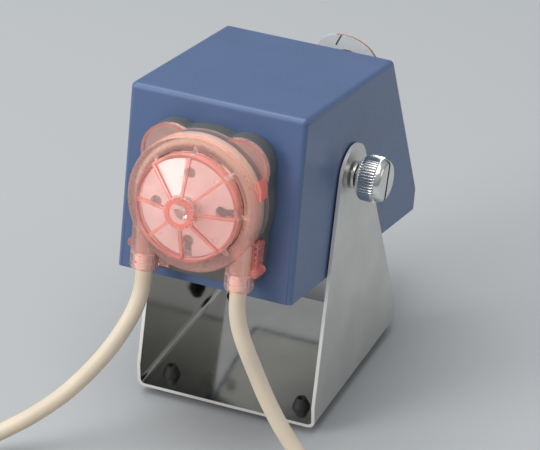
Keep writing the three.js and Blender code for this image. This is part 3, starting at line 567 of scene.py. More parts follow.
def smooth_line(points, per_span):
    """A Catmull-Rom line through the points."""
    points = [Vector(p) for p in points]
    ends = [2 * points[0] - points[1], *points, 2 * points[-1] - points[-2]]
    line = []
    for a, b, c, d in zip(ends, ends[1:], ends[2:], ends[3:]):
        for k in range(per_span):
            t = k / per_span
            square = (2 * a - 5 * b + 4 * c - d) * t**2
            cube = (3 * b - a - 3 * c + d) * t**3
            line.append(0.5 * (2 * b + (c - a) * t + square + cube))
    return [*line, points[-1]]


def coil_points(route, turn):
    """The tube's run from its last point into the coil's middle line, and round it."""
    end, before = Vector(route[-1]), Vector(route[-2])
    way = (end - before).to_2d().normalized()
    across = Vector((-way.y, way.x)) * turn
    lie = TUBE_DIAMETER / 2
    centre = end.to_2d() + way * COIL_REACH + across * COIL_RADIUS
    points = []
    for share in (0.25, 0.5, 0.75):
        flat = end.to_2d() + way * COIL_REACH * share
        points.append((flat.x, flat.y, end.z + (lie - end.z) * share))
    for k in range(COIL_STEPS + 1):
        angle = COIL_TURN * k / COIL_STEPS
        back, on = COIL_RADIUS * math.cos(angle), COIL_RADIUS * math.sin(angle)
        spot = centre - across * back + way * on
        points.append((spot.x, spot.y, lie))
    return points


def tube_shape(line, radius, bore, sides=28):
    """A round tube along a line, open at its far end as deep as its bore shows."""
    bm = bmesh.new()
    side = Vector((1, 0, 0))
    rows = []
    for i, here in enumerate(line):
        way = (line[min(i + 1, len(line) - 1)] - line[max(i - 1, 0)]).normalized()
        side = (side - way * side.dot(way)).normalized()
        rows.append((here, side.copy(), way.cross(side), way))

    def ring(row, size, push=0.0):
        here, across, over, way = row
        spots = ring_points(size, sides)
        return [bm.verts.new(here + across * x + over * y + way * push) for x, y in spots]

    skin = [ring(rows[0], radius)]
    bm.faces.new(list(reversed(skin[0])))
    for row in rows[1:]:
        skin.append(ring(row, radius))
        bridge(bm, skin[-2], skin[-1])
    lip = [
        ring(rows[-1], radius - 0.15, 0.15),
        ring(rows[-1], bore + 0.15, 0.15),
        ring(rows[-1], bore),
    ]
    inner = lip[-1]
    bridge(bm, skin[-1], lip[0])
    bridge(bm, lip[0], lip[1])
    bridge(bm, lip[1], lip[2])
    for row in list(reversed(rows))[1:6]:
        deeper = ring(row, bore)
        bridge(bm, inner, deeper)
        inner = deeper
    bm.faces.new(inner)
    return bm


def make_tube(name, route, turn):
    points = [*route, *coil_points(route, turn)]
    line = smooth_line(points, 5)
    shape = tube_shape(line, TUBE_DIAMETER / 2, BORE_DIAMETER / 2)
    solids = (name + "_tube", name + "_coil")
    made = piece(name + "_free", shape, ROW, TUBE, None, solids, smooth=50)
    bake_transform(made)


make_tube("inlet", INLET_ROUTE, 1)
make_tube("outlet", OUTLET_ROUTE, -1)


# ---- Floor and light ----
def make_stage():
    mesh = bpy.data.meshes.new("floor")
    bm = bmesh.new()
    bmesh.ops.create_grid(bm, x_segments=2, y_segments=2, size=6)
    bm.to_mesh(mesh)
    bm.free()
    made, _, shader = new_material("floor", "")
    shader.inputs["Base Color"].default_value = (0.48, 0.495, 0.505, 1)
    shader.inputs["Roughness"].default_value = 0.7
    mesh.materials.append(made)
    floor = bpy.data.objects.new("floor", mesh)
    bpy.context.scene.collection.objects.link(floor)


def area_light(name, place, target, size, power):
    data = bpy.data.lights.new(name, "AREA")
    data.shape = "RECTANGLE"
    data.size, data.size_y = size
    data.energy = power
    lamp = bpy.data.objects.new(name, data)
    lamp.location = place
    lamp.rotation_euler = (Vector(target) - Vector(place)).to_track_quat("-Z", "Y").to_euler()
    bpy.context.scene.collection.objects.link(lamp)


def make_world():
    world = bpy.data.worlds.new("studio")
    world.use_nodes = True
    tree = world.node_tree
    place = tree.nodes.new("ShaderNodeTexCoord")
    split = tree.nodes.new("ShaderNodeSeparateXYZ")
    ramp = tree.nodes.new("ShaderNodeValToRGB")
    tree.links.new(place.outputs["Generated"], split.inputs["Vector"])
    tree.links.new(split.outputs["Z"], ramp.inputs["Fac"])
    below, above = ramp.color_ramp.elements
    below.position, below.color = 0.0, (0.42, 0.45, 0.47, 1)
    above.position, above.color = 0.9, (0.9, 0.93, 0.96, 1)
    tree.links.new(ramp.outputs["Color"], tree.nodes["Background"].inputs["Color"])
    tree.nodes["Background"].inputs["Strength"].default_value = 0.5
    bpy.context.scene.world = world


make_stage()
make_world()
area_light("overhead", place=(-0.2, -0.1, 1.6), target=(0, 0, 0), size=(1.5, 1.3), power=17)
area_light("left_fill", place=(-1.2, -1.3, 0.9), target=(0, 0, 0.1), size=(0.9, 0.9), power=17)
area_light("right_fill", place=(1.7, 0.3, 0.9), target=(0, 0, 0.1), size=(1.0, 1.0), power=2)
scene = bpy.context.scene
scene.view_settings.view_transform = "Standard"
scene.cycles.caustics_refractive = True
scene.cycles.caustics_reflective = False
scene.cycles.transmission_bounces = 16
scene.cycles.max_bounces = 16
scene.cycles.transparent_max_bounces = 24

# ---- Stand ----
SHEET = 1.6
STAND_HALF = 45.65
STAND_DEPTH = 96.2
BASE_BOTTOM = 3.2
EAR_FOOT_HEIGHT = 15.5
EAR_RADIUS = 14.5
BEND = 3 + SHEET / 2
FOOT_X = 33


def ear_edges(height):
    """The ear's front and rear edge at a height: upright, then leaning in, then round the pivot."""
    rise = AXIS_Z - EAR_FOOT_HEIGHT
    found = []
    for sign in (-1, 1):
        lean = math.atan2(STAND_DEPTH / 2 - sign * AXIS_Y - EAR_RADIUS, rise)
        foot = sign * STAND_DEPTH / 2
        touch = AXIS_Y + sign * EAR_RADIUS * math.cos(lean)
        top = AXIS_Z + EAR_RADIUS * math.sin(lean)
        if height <= EAR_FOOT_HEIGHT:
            found.append(foot)
        elif height <= top:
            climbed = height - EAR_FOOT_HEIGHT
            found.append(foot + (touch - foot) * climbed / (top - EAR_FOOT_HEIGHT))
        else:
            found.append(AXIS_Y + sign * math.sqrt(max(EAR_RADIUS**2 - (height - AXIS_Z) ** 2, 0)))
    return found


def stand_shape():
    """The middle surface of the bent sheet, from one ear's top down and up to the other's."""
    wall = STAND_HALF - SHEET / 2
    level = BASE_BOTTOM + SHEET / 2
    half = [(0, level), (FOOT_X / 2, level), (wall - BEND, level)]
    for k in range(1, 8):
        angle = math.pi / 2 * k / 8
        across, down = BEND * math.sin(angle), BEND * math.cos(angle)
        half.append((wall - BEND + across, level + BEND - down))
    heights = [level + BEND, EAR_FOOT_HEIGHT, 48, 82]
    heights += [AXIS_Z + EAR_RADIUS * math.sin(math.radians(a)) for a in range(12, 90, 6)]
    half += [(wall, z) for z in heights]
    stations = [(-x, z) for x, z in reversed(half[1:])] + half
    bm = bmesh.new()
    top = AXIS_Z + EAR_RADIUS
    rows = []
    for x, z in stations:
        front, rear = ear_edges(z)
        rows.append([bm.verts.new((x, front + (rear - front) * k / 4, z)) for k in range(5)])
    for a, b in zip(rows, rows[1:]):
        for k in range(4):
            bm.faces.new((a[k], a[k + 1], b[k + 1], b[k]))
    for row, x in ((rows[0], -wall), (rows[-1], wall)):
        tip = bm.verts.new((x, AXIS_Y, top))
        for k in range(4):
            bm.faces.new((row[k], row[k + 1], tip))
    bmesh.ops.recalc_face_normals(bm, faces=bm.faces)
    bmesh.ops.solidify(bm, geom=bm.faces[:], thickness=SHEET)
    bmesh.ops.recalc_face_normals(bm, faces=bm.faces)
    return bm


MATTE_FACE, CUT_FACE = 1, 2
stand = soften(stand_shape(), 0.22, 2, 50)
for face in stand.faces:
    way, spot = face.normal, face.calc_center_median()
    if abs(way.y) > 0.5 or (abs(way.x) < 0.3 and spot.z > 20):
        face.material_index = CUT_FACE
    elif way.x * spot.x > 0 and abs(way.x) > 0.5:
        face.material_index = MATTE_FACE
piece(
    "stand_sheet",
    stand,
    ROW,
    STEEL,
    "stand",
    ("stand_bracket",),
    more=(MATTE_STEEL, CUT_EDGE),
)

FOOT_CORNERS = [
    (0, 0),
    (5.4, 0, 0.6),
    (6, 0.8, 0.4),
    (6, 3.1, 0.3),
    (2.4, 3.1),
    (2.4, 4.9),
    (4.3, 4.9, 0.3),
    (4.15, 6.2, 0.6),
    (2.2, 10.6, 0.5),
    (1.1, 10.6, 0.3),
    (0.9, 7.2, 0.4),
    (0, 7.2),
]
for along, y in (("front", -FOOT_Y), ("rear", FOOT_Y)):
    for across, x in (("left", -FOOT_X), ("right", FOOT_X)):
        name = f"foot_{along}_{across}"
        foot = turned(FOOT_CORNERS, 40)
        piece(name + "_rubber", foot, ROW @ shift(x, y, 0), RUBBER, "stand", (name,))

# ---- Tilt clamp ----
FLAT_START = STAND_HALF + 0.1
FLAT_THICKNESS = 1.2
SPRING_START = FLAT_START + FLAT_THICKNESS + 0.1
KNOB_START = SPRING_START + 1.8
KNOB_RADIUS = 10.2
RIDGES = 46
RIDGE_WAVE = (0, 0.35, 0.85, 1, 0.85, 0.35)
SLOT_TURN = math.radians(-20.5)


def knob_shape():
    """A straight-knurled head with a plain chamfer at each end and a driver slot in its face."""
    profile = [(0, 0), (8.4, 0), (9.3, 0.25), (9.75, 0.8)]
    knurled = [1.0, 1.3, 1.7, 3.0, 5.0, 7.0, 8.4, 8.8, 9.1]
    profile += [(None, z) for z in knurled]
    profile += [(9.85, 9.4), (9.6, 10.4), (9.2, 11.3), (8.6, 11.9), (7.9, 12.2)]
    profile += [(5, 12.2), (0, 12.2)]
    bm = bmesh.new()
    samples = RIDGES * len(RIDGE_WAVE)
    rows = []
    for radius, z in profile:
        if radius == 0:
            rows.append([bm.verts.new((0, 0, z))])
            continue
        row = []
        for k in range(samples):
            angle = TURN * k / samples
            size = radius
            if radius is None:
                depth = min(1, (z - 0.9) / 0.8, (9.2 - z) / 0.8)
                wave = RIDGE_WAVE[k % len(RIDGE_WAVE)]
                size = KNOB_RADIUS - 0.35 - 0.95 * max(0.12, depth) * (wave - 0.75)
            row.append(bm.verts.new((*polar(size, angle), z)))
        rows.append(row)
    for a, b in zip(rows, rows[1:]):
        bridge(bm, a, b)
    return bm


def thumb_screw():
    slot = placed(block(-0.9, 0.9, -12, 12, 9.9, 14), Matrix.Rotation(SLOT_TURN, 4, "Z"))
    head = placed(boolean(knob_shape(), cut=[slot]), shift(0, 0, KNOB_START))
    end = KNOB_START + 0.05
    shank = lathe([(0, 34.6), (2.2, 34.6), (2.5, 35), (2.5, end), (0, end)], 32)
    return merged(head, shank)


def spring_washer():
    """A split ring whose ends stand a little apart."""
    bm = bmesh.new()
    corners = [(2.9, 0), (5.3, 0), (5.3, 1.1), (2.9, 1.1)]
    rows = []
    steps = 56
    for k in range(steps + 1):
        share = k / steps
        angle = math.radians(-52) + (TURN - math.radians(9)) * share
        rise = 0.15 + 0.35 * share
        rows.append([bm.verts.new((*polar(r, angle), z + rise)) for r, z in corners])
    for a, b in zip(rows, rows[1:]):
        for k in range(4):
            bm.faces.new((a[k], b[k], b[(k + 1) % 4], a[(k + 1) % 4]))
    bm.faces.new(rows[0])
    bm.faces.new(list(reversed(rows[-1])))
    return soften(bm, 0.12, 2, 50)


def washer(inner, outer, low, high, edge=0.15):
    corners = [(inner, low, edge), (outer, low, edge), (outer, high, edge), (inner, high, edge)]
    return ringed(corners, 64, 2)


for side, word in ((1, "right"), (-1, "left")):
    axle = clamp_frame(side)
    name = f"thumb_screw_{word}"
    piece(f"{name}_head", thumb_screw(), axle, CHROME, f"screw_{word}", (name,), smooth=32)
    name = f"flat_washer_{word}"
    flat = washer(2.8, 6.5, FLAT_START, FLAT_START + FLAT_THICKNESS)
    piece(f"{name}_plated", flat, axle, CHROME, f"washers_{word}", (name,))
    name = f"spring_washer_{word}"
    split = placed(spring_washer(), shift(0, 0, SPRING_START))
    piece(f"{name}_split", split, axle, ZINC, f"washers_{word}", (name,))
    name = f"pivot_spacer_{word}"
    piece(f"{name}_rubber", washer(2.8, 7, 42.6, 43.95, 0.3), axle, RUBBER, "stand", (name,))

# ---- Housing ----
HALF_WIDTH = 42.5
WALL = 1.2
FOLD_RADIUS = 2.4


def housing_shape():
    """The folded sheet: a box, rounded along its folds, then opened below and given its wall."""
    corners = [(0, 0), (PANEL_FOOT.x, 0), (*PANEL_FOOT, 2.5), (*PANEL_TOP, 3), (0, PANEL_TOP.y, 3)]
    bm = slab(filleted(corners, 6), -HALF_WIDTH, HALF_WIDTH)
    bm.transform(FACING_SIDE)
    for side in (-1, 1):
        plane = side * HALF_WIDTH
        cap = [f for f in bm.faces if all(abs(v.co.x - plane) < 0.01 for v in f.verts)]
        bmesh.ops.dissolve_faces(bm, faces=cap)
    rims = [
        e
        for e in bm.edges
        if abs(e.verts[0].co.x - e.verts[1].co.x) < 0.01 and max(v.co.z for v in e.verts) > 0.01
    ]
    round_edges(bm, rims, FOLD_RADIUS, 6)
    under = [f for f in bm.faces if all(v.co.z < 0.01 for v in f.verts)]
    bmesh.ops.delete(bm, geom=under, context="FACES")
    bmesh.ops.recalc_face_normals(bm, faces=bm.faces)
    flats = [f for f in bm.faces if f.calc_area() > 500]
    bmesh.ops.inset_individual(bm, faces=flats, thickness=0.4, use_even_offset=True)
    return bm


shell = piece(
    "housing_shell_painted",
    housing_shape(),
    HOUSING,
    PAINT,
    "housing",
    ("housing_shell",),
    smooth=60,
)
# The wall has to be made before the normals are weighted.
wall = shell.modifiers.new("wall", "SOLIDIFY")
wall.thickness = WALL * MM
wall.offset = -1
shell.modifiers.move(1, 0)

# ---- Pump head ----
FROSTED_FACE, THICK_AND_PAINTED_EDGE_FACE = 1, 2
CASING_RADIUS = 31.4
LOBE = Vector((16.8, 17.5))
LOBE_RADIUS = 13.8
RACE_RADIUS = 29.3
WINDOW_RADIUS = 25
COVER_RADIUS = 24.6
LEG_X = 22.9
LEG_DEPTH = 14.2
HEAD_BASE_FRONT = 8
FLANGE_FRONT = 11.1
CASING_FRONT = 20.2
SKIRT_HALF = [(24.5, -37.4), (29.4, -32.5), (30.4, 17.5)]
SKIRT = [(-x, y) for x, y in reversed(SKIRT_HALF)] + SKIRT_HALF


def far_point(way, centre, radius):
    """How far along a way from the rotor's axis a circle is, or 0 if the way misses it."""
    along = way.dot(centre)
    off = centre.length_squared - along**2
    return along + math.sqrt(radius**2 - off) if off < radius**2 else 0


def skirt_distance(way):
    """How far along a way from the rotor's axis the base's skirt is, or 0 if the way misses it."""
    best = 0
    for a, b in zip(SKIRT, SKIRT[1:]):
        a, b = Vector(a), Vector(b)
        edge = b - a
        bottom = way.x * edge.y - way.y * edge.x
        if abs(bottom) < 1e-9:
            continue
        reach = (a.x * edge.y - a.y * edge.x) / bottom
        share = (a.x * way.y - a.y * way.x) / bottom
        if reach > 0 and -1e-9 <= share <= 1 + 1e-9:
            best = max(best, reach)
    return best


def lobed(radius, lobe_radius, skirt=False, steps=288):
    """The head's outline: a circle, two lobes and, on the base, a skirt below."""
    made = []
    for k in range(steps):
        angle = TURN * k / steps
        way = Vector((math.cos(angle), math.sin(angle)))
        reach = [radius]
        for side in (-1, 1):
            reach.append(far_point(way, Vector((side * LOBE.x, LOBE.y)), lobe_radius))
        if skirt:
            reach.append(skirt_distance(way))
        made.append(tuple(way * max(reach)))
    return made


def head_base_shape():
    body = slab(lobed(CASING_RADIUS + 0.2, LOBE_RADIUS, True), 0.1, HEAD_BASE_FRONT)
    soften(body, 0.7, 3, 50)
    return boolean(body, cut=[rod(23.4, 5.5, 12, 96), rod(6.2, -1, 7, 48)])


piece("head_base_moulding", head_base_shape(), HEAD, GREY, "housing", ("head_base",))


def casing_shape():
    start = HEAD_BASE_FRONT + 0.1
    flange = slab(lobed(CASING_RADIUS, LOBE_RADIUS - 0.2), start, FLANGE_FRONT)
    soften(flange, 0.25, 2, 50)
    tray = slab(lobed(CASING_RADIUS - 1.2, LOBE_RADIUS - 1.5), start + 1.2, FLANGE_FRONT + 1)
    rim = (CASING_RADIUS, CASING_FRONT, 1.4)
    drum = turned([(0, start), (CASING_RADIUS, start), rim, (0, CASING_FRONT)], 128, 5)
    race = rod(RACE_RADIUS, start - 1, CASING_FRONT - 1.8, 128)
    window = rod(WINDOW_RADIUS, start, 22, 128)
    legs, bores = [], []
    for side in (-1, 1):
        x = side * LEG_X
        corners = [(-5.4, -19.6, 2), (5.4, -19.6, 2), (5.4, -start, 0.4), (-5.4, -start, 0.4)]
        leg = slab(filleted(corners, 4), -28.8, -14)
        legs.append(placed(leg, shift(x, 0, 0) @ FACING_UP_LEG))
        bores.append(placed(rod(4.2, -30, -8, 40), shift(x, 0, LEG_DEPTH) @ FACING_UP_LEG))
    tab = block(-15.9, -10.6, -34, -27, start, 15)
    soften(tab, 0.4, 2)
    made = boolean(boolean(flange, cut=[tray]), [drum, *legs, tab], [race, window, *bores])
    for face in made.faces:
        spot = face.calc_center_median()
        reach = spot.to_2d().length
        # The rim fillet, the flange's edge and the tab get a deeper, milkier red. Partly this is
        # the thicker plastic's own colour, and partly painted edge lines that stand in for the
        # bright red lines which refraction and highlights draw along the rims.
        on_rim = spot.z > 18.75 and 30.5 < reach < 32 and face.calc_area() < 2
        on_annulus = spot.z > 17.9 and 24.8 < reach < 32
        on_flange = reach > 31.8 and 10.9 < spot.z < 11.3
        on_tab = -16.2 < spot.x < -10.4 and spot.y < -31
        if on_annulus and not on_rim:
            face.material_index = FROSTED_FACE
        elif on_rim or on_flange or on_tab:
            face.material_index = THICK_AND_PAINTED_EDGE_FACE
    return made


piece(
    "head_casing_clear",
    casing_shape(),
    HEAD,
    PINK,
    "housing",
    ("head_casing",),
    smooth=32,
    more=(FROSTED_PINK, RIB_AND_PAINTED_EDGE_PINK),
)


def toothed(inner, outer, count):
    """A toothed outline."""
    made = []
    for i in range(count):
        for share, radius in ((0.12, inner), (0.3, outer), (0.7, outer), (0.88, inner)):
            made.append(polar(radius, TURN * (i + share) / count))
    return made


COVER_CORNERS = [
    (22.9, 20.4, 0.2),
    (COVER_RADIUS, 20.4, 0.2),
    (COVER_RADIUS, 26.6, 0.5),
    (23.2, 26.6, 0.5),
    (22.9, 25.6, 0.3),
    (7.6, 31, 0.4),
    (7.6, 33.4, 0.7),
    (3.7, 33.4, 0.3),
    (3.4, 36.2, 0.6),
    (0, 36.2),
    (0, 31.4),
    (6, 31.4),
    (6.4, 29.8, 0.3),
    (22.9, 24.1, 0.3),
]
COVER_RIBS = 8
COVER_SLOPE = 0.353
COVER_RIB_FACE = 1


def cover_shape():
    """A low cone with a hub, a rim, ribs on its face and a nib below each rib's end."""
    dome = ringed(COVER_CORNERS, 128)
    ribs = []
    for i in range(COVER_RIBS):
        rib = slab([(6.6, 30.2), (6.6, 32.7), (23.6, 27), (23.6, 24.9)], -0.75, 0.75)
        soften(rib, 0.25, 2)
        nib = slab([(24.1, 20.4), (27.2, 20.4), (26.8, 21.6), (24.1, 23.2)], -0.7, 0.7)
        soften(nib, 0.2, 2)
        turn = Matrix.Rotation(TURN * i / COVER_RIBS, 4, "Z")
        ribs += [placed(part, turn @ FACING_FRONT) for part in (rib, nib)]
    made = boolean(dome, ribs)
    for face in made.faces:
        spot = face.calc_center_median()
        reach = spot.to_2d().length
        slope = 25.6 + (22.9 - reach) * COVER_SLOPE
        on_rib = 7.7 < reach < 22.9 and spot.z > slope + 0.15
        if on_rib or (reach > 22.8 and spot.z > 23):
            face.material_index = COVER_RIB_FACE
    return made


piece(
    "head_cover_clear",
    cover_shape(),
    HEAD,
    PINK,
    "housing",
    ("head_cover",),
    smooth=32,
    more=(RIB_AND_PAINTED_EDGE_PINK,),
)

# ---- Rotor, behind the window ----
ROLLERS = 4
ROLLER_PHASE = math.radians(48)
ROLLER_CIRCLE = 18.6
ROLLER_SPOTS = [polar(ROLLER_CIRCLE, ROLLER_PHASE + TURN * i / ROLLERS) for i in range(ROLLERS)]
ROTOR_RADIUS = 22.5
SHAFT_BORE = 3.1


def keyholes(low, high):
    """The notches between the rollers: each has a round end and a mouth that opens at the rim."""
    made = []
    for i in range(ROLLERS):
        angle = ROLLER_PHASE + TURN * (i + 0.5) / ROLLERS
        mouth = slab([(15.6, -1.5), (24, -2.6), (24, 2.6), (15.6, 1.5)], low, high)
        eye = slab(ring_points(2.7, 28, 15.4, 0), low, high)
        turn = Matrix.Rotation(angle, 4, "Z")
        made += [placed(mouth, turn), placed(eye, turn)]
    return made


def rotor_plate_shape():
    """The disc in front of the rollers, bored for the shaft and the rollers' pins."""
    face = [(0, 20.8), (ROTOR_RADIUS, 20.8, 0.3), (ROTOR_RADIUS, 23, 0.5), (0, 23)]
    plate = turned(face, 128)
    hub = turned([(0, 22), (5.5, 22), (5.5, 24.6, 0.3), (0, 24.6)], 64)
    holes = [rod(SHAFT_BORE, 19, 26, 32)]
    holes += [placed(rod(1.6, 19, 26, 24), shift(*spot, 0)) for spot in ROLLER_SPOTS]
    return soften(boolean(plate, [hub], [*keyholes(20, 24), *holes]), 0.12, 2, 60)


piece("rotor_plate_white", rotor_plate_shape(), HEAD, WHITE, "rotor", ("rotor_front_plate",))


CARRIER_BACK = 5.9
CARRIER_FRONT = 8.1
HUB_FRONT = 20.7
PIN_FRONT = 22.9


def carrier_shape():
    """The carrier's disc and hub with the pins that the rollers turn on."""
    low, high = CARRIER_BACK, CARRIER_FRONT
    disc = turned([(0, low), (ROTOR_RADIUS, low, 0.4), (ROTOR_RADIUS, high, 0.4), (0, high)], 96)
    parts = [rod(8, low + 0.1, HUB_FRONT, 48)]
    for spot in ROLLER_SPOTS:
        corners = [(0, low + 0.6), (1.5, low + 0.6), (1.5, PIN_FRONT, 0.4), (0, PIN_FRONT)]
        parts.append(placed(turned(corners, 24), shift(*spot, 0)))
    return boolean(disc, parts, [rod(SHAFT_BORE, 0, 26, 32), *keyholes(low - 1, high + 0.4)])


piece("roller_carrier_white", carrier_shape(), HEAD, WHITE, "rotor", ("roller_carrier",))
for i, spot in enumerate(ROLLER_SPOTS, 1):
    name = f"roller_{i}"
    roller = ringed([(1.6, 8.5, 0.2), (6, 8.5, 0.5), (6, 20.1, 0.5), (1.6, 20.1, 0.2)], 56)
    piece(name + "_white", roller, HEAD @ shift(*spot, 0), WHITE, name, (name,))

# ---- Pump tube, nuts and moulded clips ----
PRESSED_INNER = 24.9
PRESSED_OUTER = RACE_RADIUS - 0.2
TUBE_RADIUS = TUBE_DIAMETER / 2


def pump_tube_shape(sides=28):
    """Round in its two legs, and pressed flat against the race where the rollers run."""

    def leg(side, z):
        inner = max(LEG_X - TUBE_RADIUS, math.sqrt(max(PRESSED_INNER**2 - z**2, 0)))
        outer = max(LEG_X + TUBE_RADIUS, math.sqrt(max(PRESSED_OUTER**2 - z**2, 0)))
        return Vector((side * (inner + outer) / 2, z)), Vector((side, 0)), (outer - inner) / 2

    heights = [-36.4, -33, -28, -22, *[-18 + 0.75 * k for k in range(24)]]
    stations = [leg(-1, z) for z in heights]
    for k in range(61):
        angle = math.pi * (1 - k / 60)
        way = Vector((math.cos(angle), math.sin(angle)))
        middle = way * (PRESSED_INNER + PRESSED_OUTER) / 2
        stations.append((middle, way, (PRESSED_OUTER - PRESSED_INNER) / 2))
    stations += [leg(1, z) for z in reversed(heights)]
    bm = bmesh.new()
    rows = []
    for spot, way, thick in stations:
        share = (TUBE_RADIUS - thick) / (TUBE_RADIUS - 2.1)
        wide = TUBE_RADIUS + 0.3 * min(max(share, 0), 1)
        rows.append(
            [
                bm.verts.new((*(spot + way * thick * a), LEG_DEPTH - wide * b))
                for a, b in ring_points(1, sides)
            ]
        )
    for a, b in zip(rows, rows[1:]):
        bridge(bm, a, b)
    bm.faces.new(rows[0])
    bm.faces.new(rows[-1])
    return bm


piece("pump_tube_pressed", pump_tube_shape(), HEAD, TUBE, "housing", ("pump_tube",), smooth=50)


def nut_shape():
    """A hexagon nut with a collar at each end and one round its middle, bored for the tube."""
    corner_reach = 5.9 / math.cos(math.pi / 6)
    hexagon = slab(ring_points(corner_reach, 6, first=math.pi / 6), -35.6, -29.4)
    soften(hexagon, 0.35, 3)
    foot = turned([(0, -36.5), (6.1, -36.5, 0.4), (6.1, -35.4, 0.2), (0, -35.4)], 48)
    neck = turned([(0, -29.6), (6, -29.6, 0.2), (6, -28.4, 0.4), (0, -28.4)], 48)
    band = turned([(0, -33.2), (6.6, -33.2, 0.3), (6.6, -32.4, 0.3), (0, -32.4)], 48, 2)
    return boolean(hexagon, [foot, neck, band], [rod(4.05, -40, -27, 40)])


def clip_shape(side):
    """A moulded strip with windows, and a round peg at its foot."""
    front = 15 if side > 0 else 11.2
    windows = []
    for k in range(4):
        y = -24.6 + 2.6 * k
        windows.append([(28.95, y), (30.25, y), (30.25, y + 1.6), (28.95, y + 1.6)])
    outline = [(28.45, -28.6), (30.8, -28.6), (30.9, -13.6), (28.45, -13.6)]
    strip = slab(outline, 8.1, front, windows)
    soften(strip, 0.15, 2)
    peg = turned([(0, 8.1), (2, 8.1), (2, front + 2, 0.5), (0, front + 2)], 32)
    made = merged(strip, placed(peg, shift(30.6, -27, 0)))
    return made if side > 0 else placed(made, Matrix.Scale(-1, 4, (1, 0, 0)))


for side, word in ((1, "right"), (-1, "left")):
    upright = HEAD @ shift(side * LEG_X, 0, LEG_DEPTH) @ FACING_UP_LEG
    name = f"tube_nut_{word}"
    piece(f"{name}_clear", nut_shape(), upright, PINK, "housing", (name,))
    name = f"side_clip_{word}"
    piece(f"{name}_clear", clip_shape(side), HEAD, CLIP_PINK, "housing", (name,))
hook_outline = [(30.8, 7.5), (31.5, 7.5), (31.3, 13), (29.4, 16.6), (28, 15.3), (29.8, 11.6)]
hook = slab(hook_outline, 11.2, 18.2)
piece("cover_catch_clear", soften(hook, 0.2, 2), HEAD, DEEP_PINK, "housing", ("cover_catch",))
teeth = slab(toothed(6.3, 7.2, 24), 33.35, 34.1, [ring_points(4.7, 48)])
piece("cover_hub_teeth", soften(teeth, 0.08, 1), HEAD, DEEP_PINK, "housing")

# ---- Rear dial ----
DISC_BACK = 7.4
DISC_FRONT = 8.9
DISC_RADIUS = 15
DIAL = PANEL @ shift(-14, -14.5, 0)


def dial_knob_shape():
    """A low black hub whose fluted foot stands behind the clear disc."""
    foot = slab(toothed(5.4, 5.8, 24), 4.1, DISC_BACK - 0.1)
    soften(foot, 0.12, 2, 20)
    cap = turned([(0, 7), (3.9, 7), (3.9, 9.1, 0.4), (0, 9.1)], 48, 4)
    notch = block(-0.35, 0.35, 0.6, 5, 8.8, 11)
    return boolean(foot, [cap], [rod(SHAFT_BORE, 0, 8, 32), notch])


piece("dial_knob_black", dial_knob_shape(), DIAL, BLACK, "dial", ("dial_knob",))
disc_corners = [
    (4.2, DISC_BACK, 0.2),
    (DISC_RADIUS, DISC_BACK, 0.35),
    (DISC_RADIUS, DISC_FRONT, 0.35),
    (4.2, DISC_FRONT, 0.2),
]
piece("dial_disc_clear", ringed(disc_corners, 96), DIAL, ACRYLIC, "dial", ("dial_skirt",))
arc = [math.radians(a) for a in range(72, 258, 3)]
band = [polar(14.5, a) for a in arc] + [polar(13.5, a) for a in reversed(arc)]
piece("dial_print_orange", slab(band, DISC_FRONT, 9.02), DIAL, ORANGE, "dial")
lean = shift(7.9, 1, 0) @ Matrix.Rotation(math.radians(26), 4, "Z")
hairline = placed(block(-0.4, 0.4, 5.2, 14.2, DISC_FRONT, 9.05), lean)
piece("dial_print_hairline", hairline, DIAL, INK, "dial")

# ---- Rear switches and inlet ----
SWITCH = PANEL @ shift(21, -24, 0)
TOGGLE = PANEL @ shift(21, -56, 0)
INLET = PANEL @ shift(-17, -62, 0)
rim = slab(filleted([(-7.5, -11, 1), (7.5, -11, 1), (7.5, 11, 1), (-7.5, 11, 1)], 4), 0.1, 1.9)
soften(rim, 0.35, 3, 50)
well = block(-4.9, 4.9, -8.4, 8.4, -5, 3)
bezel = boolean(rim, [block(-6, 6, -9.5, 9.5, -12, 1)], [well])
piece("power_switch_bezel", bezel, SWITCH, BLACK, "housing", ("power_switch",))
key = slab([(-8, -1.6), (8, -1.6), (8, 2.2), (4, 1.5), (0, 1.2), (-4, 1.5), (-8, 2.2)], -4.6, 4.6)
mark_frame = SWITCH @ Matrix.Rotation(math.radians(-7), 4, "X")
key_frame = mark_frame @ FACING_SIDE
piece("power_rocker_key", soften(key, 0.3, 3), key_frame, BLACK, "rocker", ("power_rocker",))
bar_mark = slab([(-0.3, 3.6), (0.3, 3.6), (0.3, 6.2), (-0.3, 6.2)], 1.4, 2.0)
ring_mark = slab(ring_points(1.5, 32, 0, -5), 1.4, 2.0, [ring_points(1.0, 32, 0, -5)])
piece("power_rocker_marks", merged(bar_mark, ring_mark), mark_frame, PALE_PRINT, "rocker")
collar = slab(ring_points(4.6, 6), 0.2, 2.4)
soften(collar, 0.3, 2)
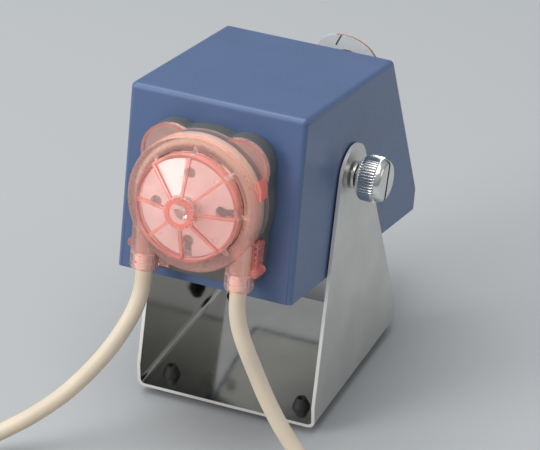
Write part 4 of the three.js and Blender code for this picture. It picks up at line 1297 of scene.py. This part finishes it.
barrel_corners = [(0, -2), (3.1, -2), (3.1, 2.6), (2.9, 2.8), (3.1, 3), (3.1, 3.4), (2.9, 3.6)]
barrel_corners += [(3.1, 3.8), (3.1, 6, 0.3), (0, 6)]
barrel = turned(barrel_corners, 40, 2)
cone = lathe([(0, -5.2), (1.9, -5.2), (2.6, 7), (0, 7)], 32)
bush = boolean(block(-4, 4, -6.5, 6.5, -13, -1.5), [collar, barrel], [cone])
piece("direction_switch_bush", bush, TOGGLE, ZINC, "housing", ("direction_switch",))
lever_corners = [(0, -4.8), (1, -4.8), (1.1, 6), (1.6, 14, 0.4), (1.25, 15, 0.5), (0, 15)]
lever = turned(lever_corners, 32, 4)
piece("direction_lever_chrome", lever, TOGGLE, CHROME, "lever", ("direction_lever",))
socket_corners = [(0, -12), (4, -12), (4, 0.1), (5.8, 0.1, 0.3), (5.8, 2.2, 0.5), (0, 2.2)]
socket = turned(socket_corners, 48)
hollow = ringed([(1.3, -9), (2.9, -9), (2.9, 3), (1.3, 3)], 40, 2)
inlet = boolean(socket, cut=[hollow])
piece("power_inlet_socket", inlet, INLET, BLACK, "housing", ("power_inlet",))

# ---- Bottom cover ----
SHEET_HALF = 41.0
SHEET_FRONT = 1.6
SHEET_REAR = 148.9
corners = [(-SHEET_HALF, SHEET_FRONT, 1.5), (SHEET_HALF, SHEET_FRONT, 1.5)]
corners += [(SHEET_HALF, SHEET_REAR, 1.5), (-SHEET_HALF, SHEET_REAR, 1.5)]
screw_holes = [ring_points(1.8, 24, x, 110.5) for x in (-37.3, 37.3)]
cover = slab(filleted(corners, 4), 0.3, 1.8, screw_holes)
soften(cover, 0.2, 2, 50)
studs = []
for x in (-27, 27):
    for y in (83, 131):
        stud = lathe([(0, 1.7), (3, 1.7), (3, 8.9), (1.4, 8.9), (1.4, 12.1), (0, 12.1)], 24)
        studs.append(placed(stud, shift(x, y, 0)))
piece("bottom_cover_sheet", boolean(cover, studs), HOUSING, STEEL, "housing", ("bottom_cover",))
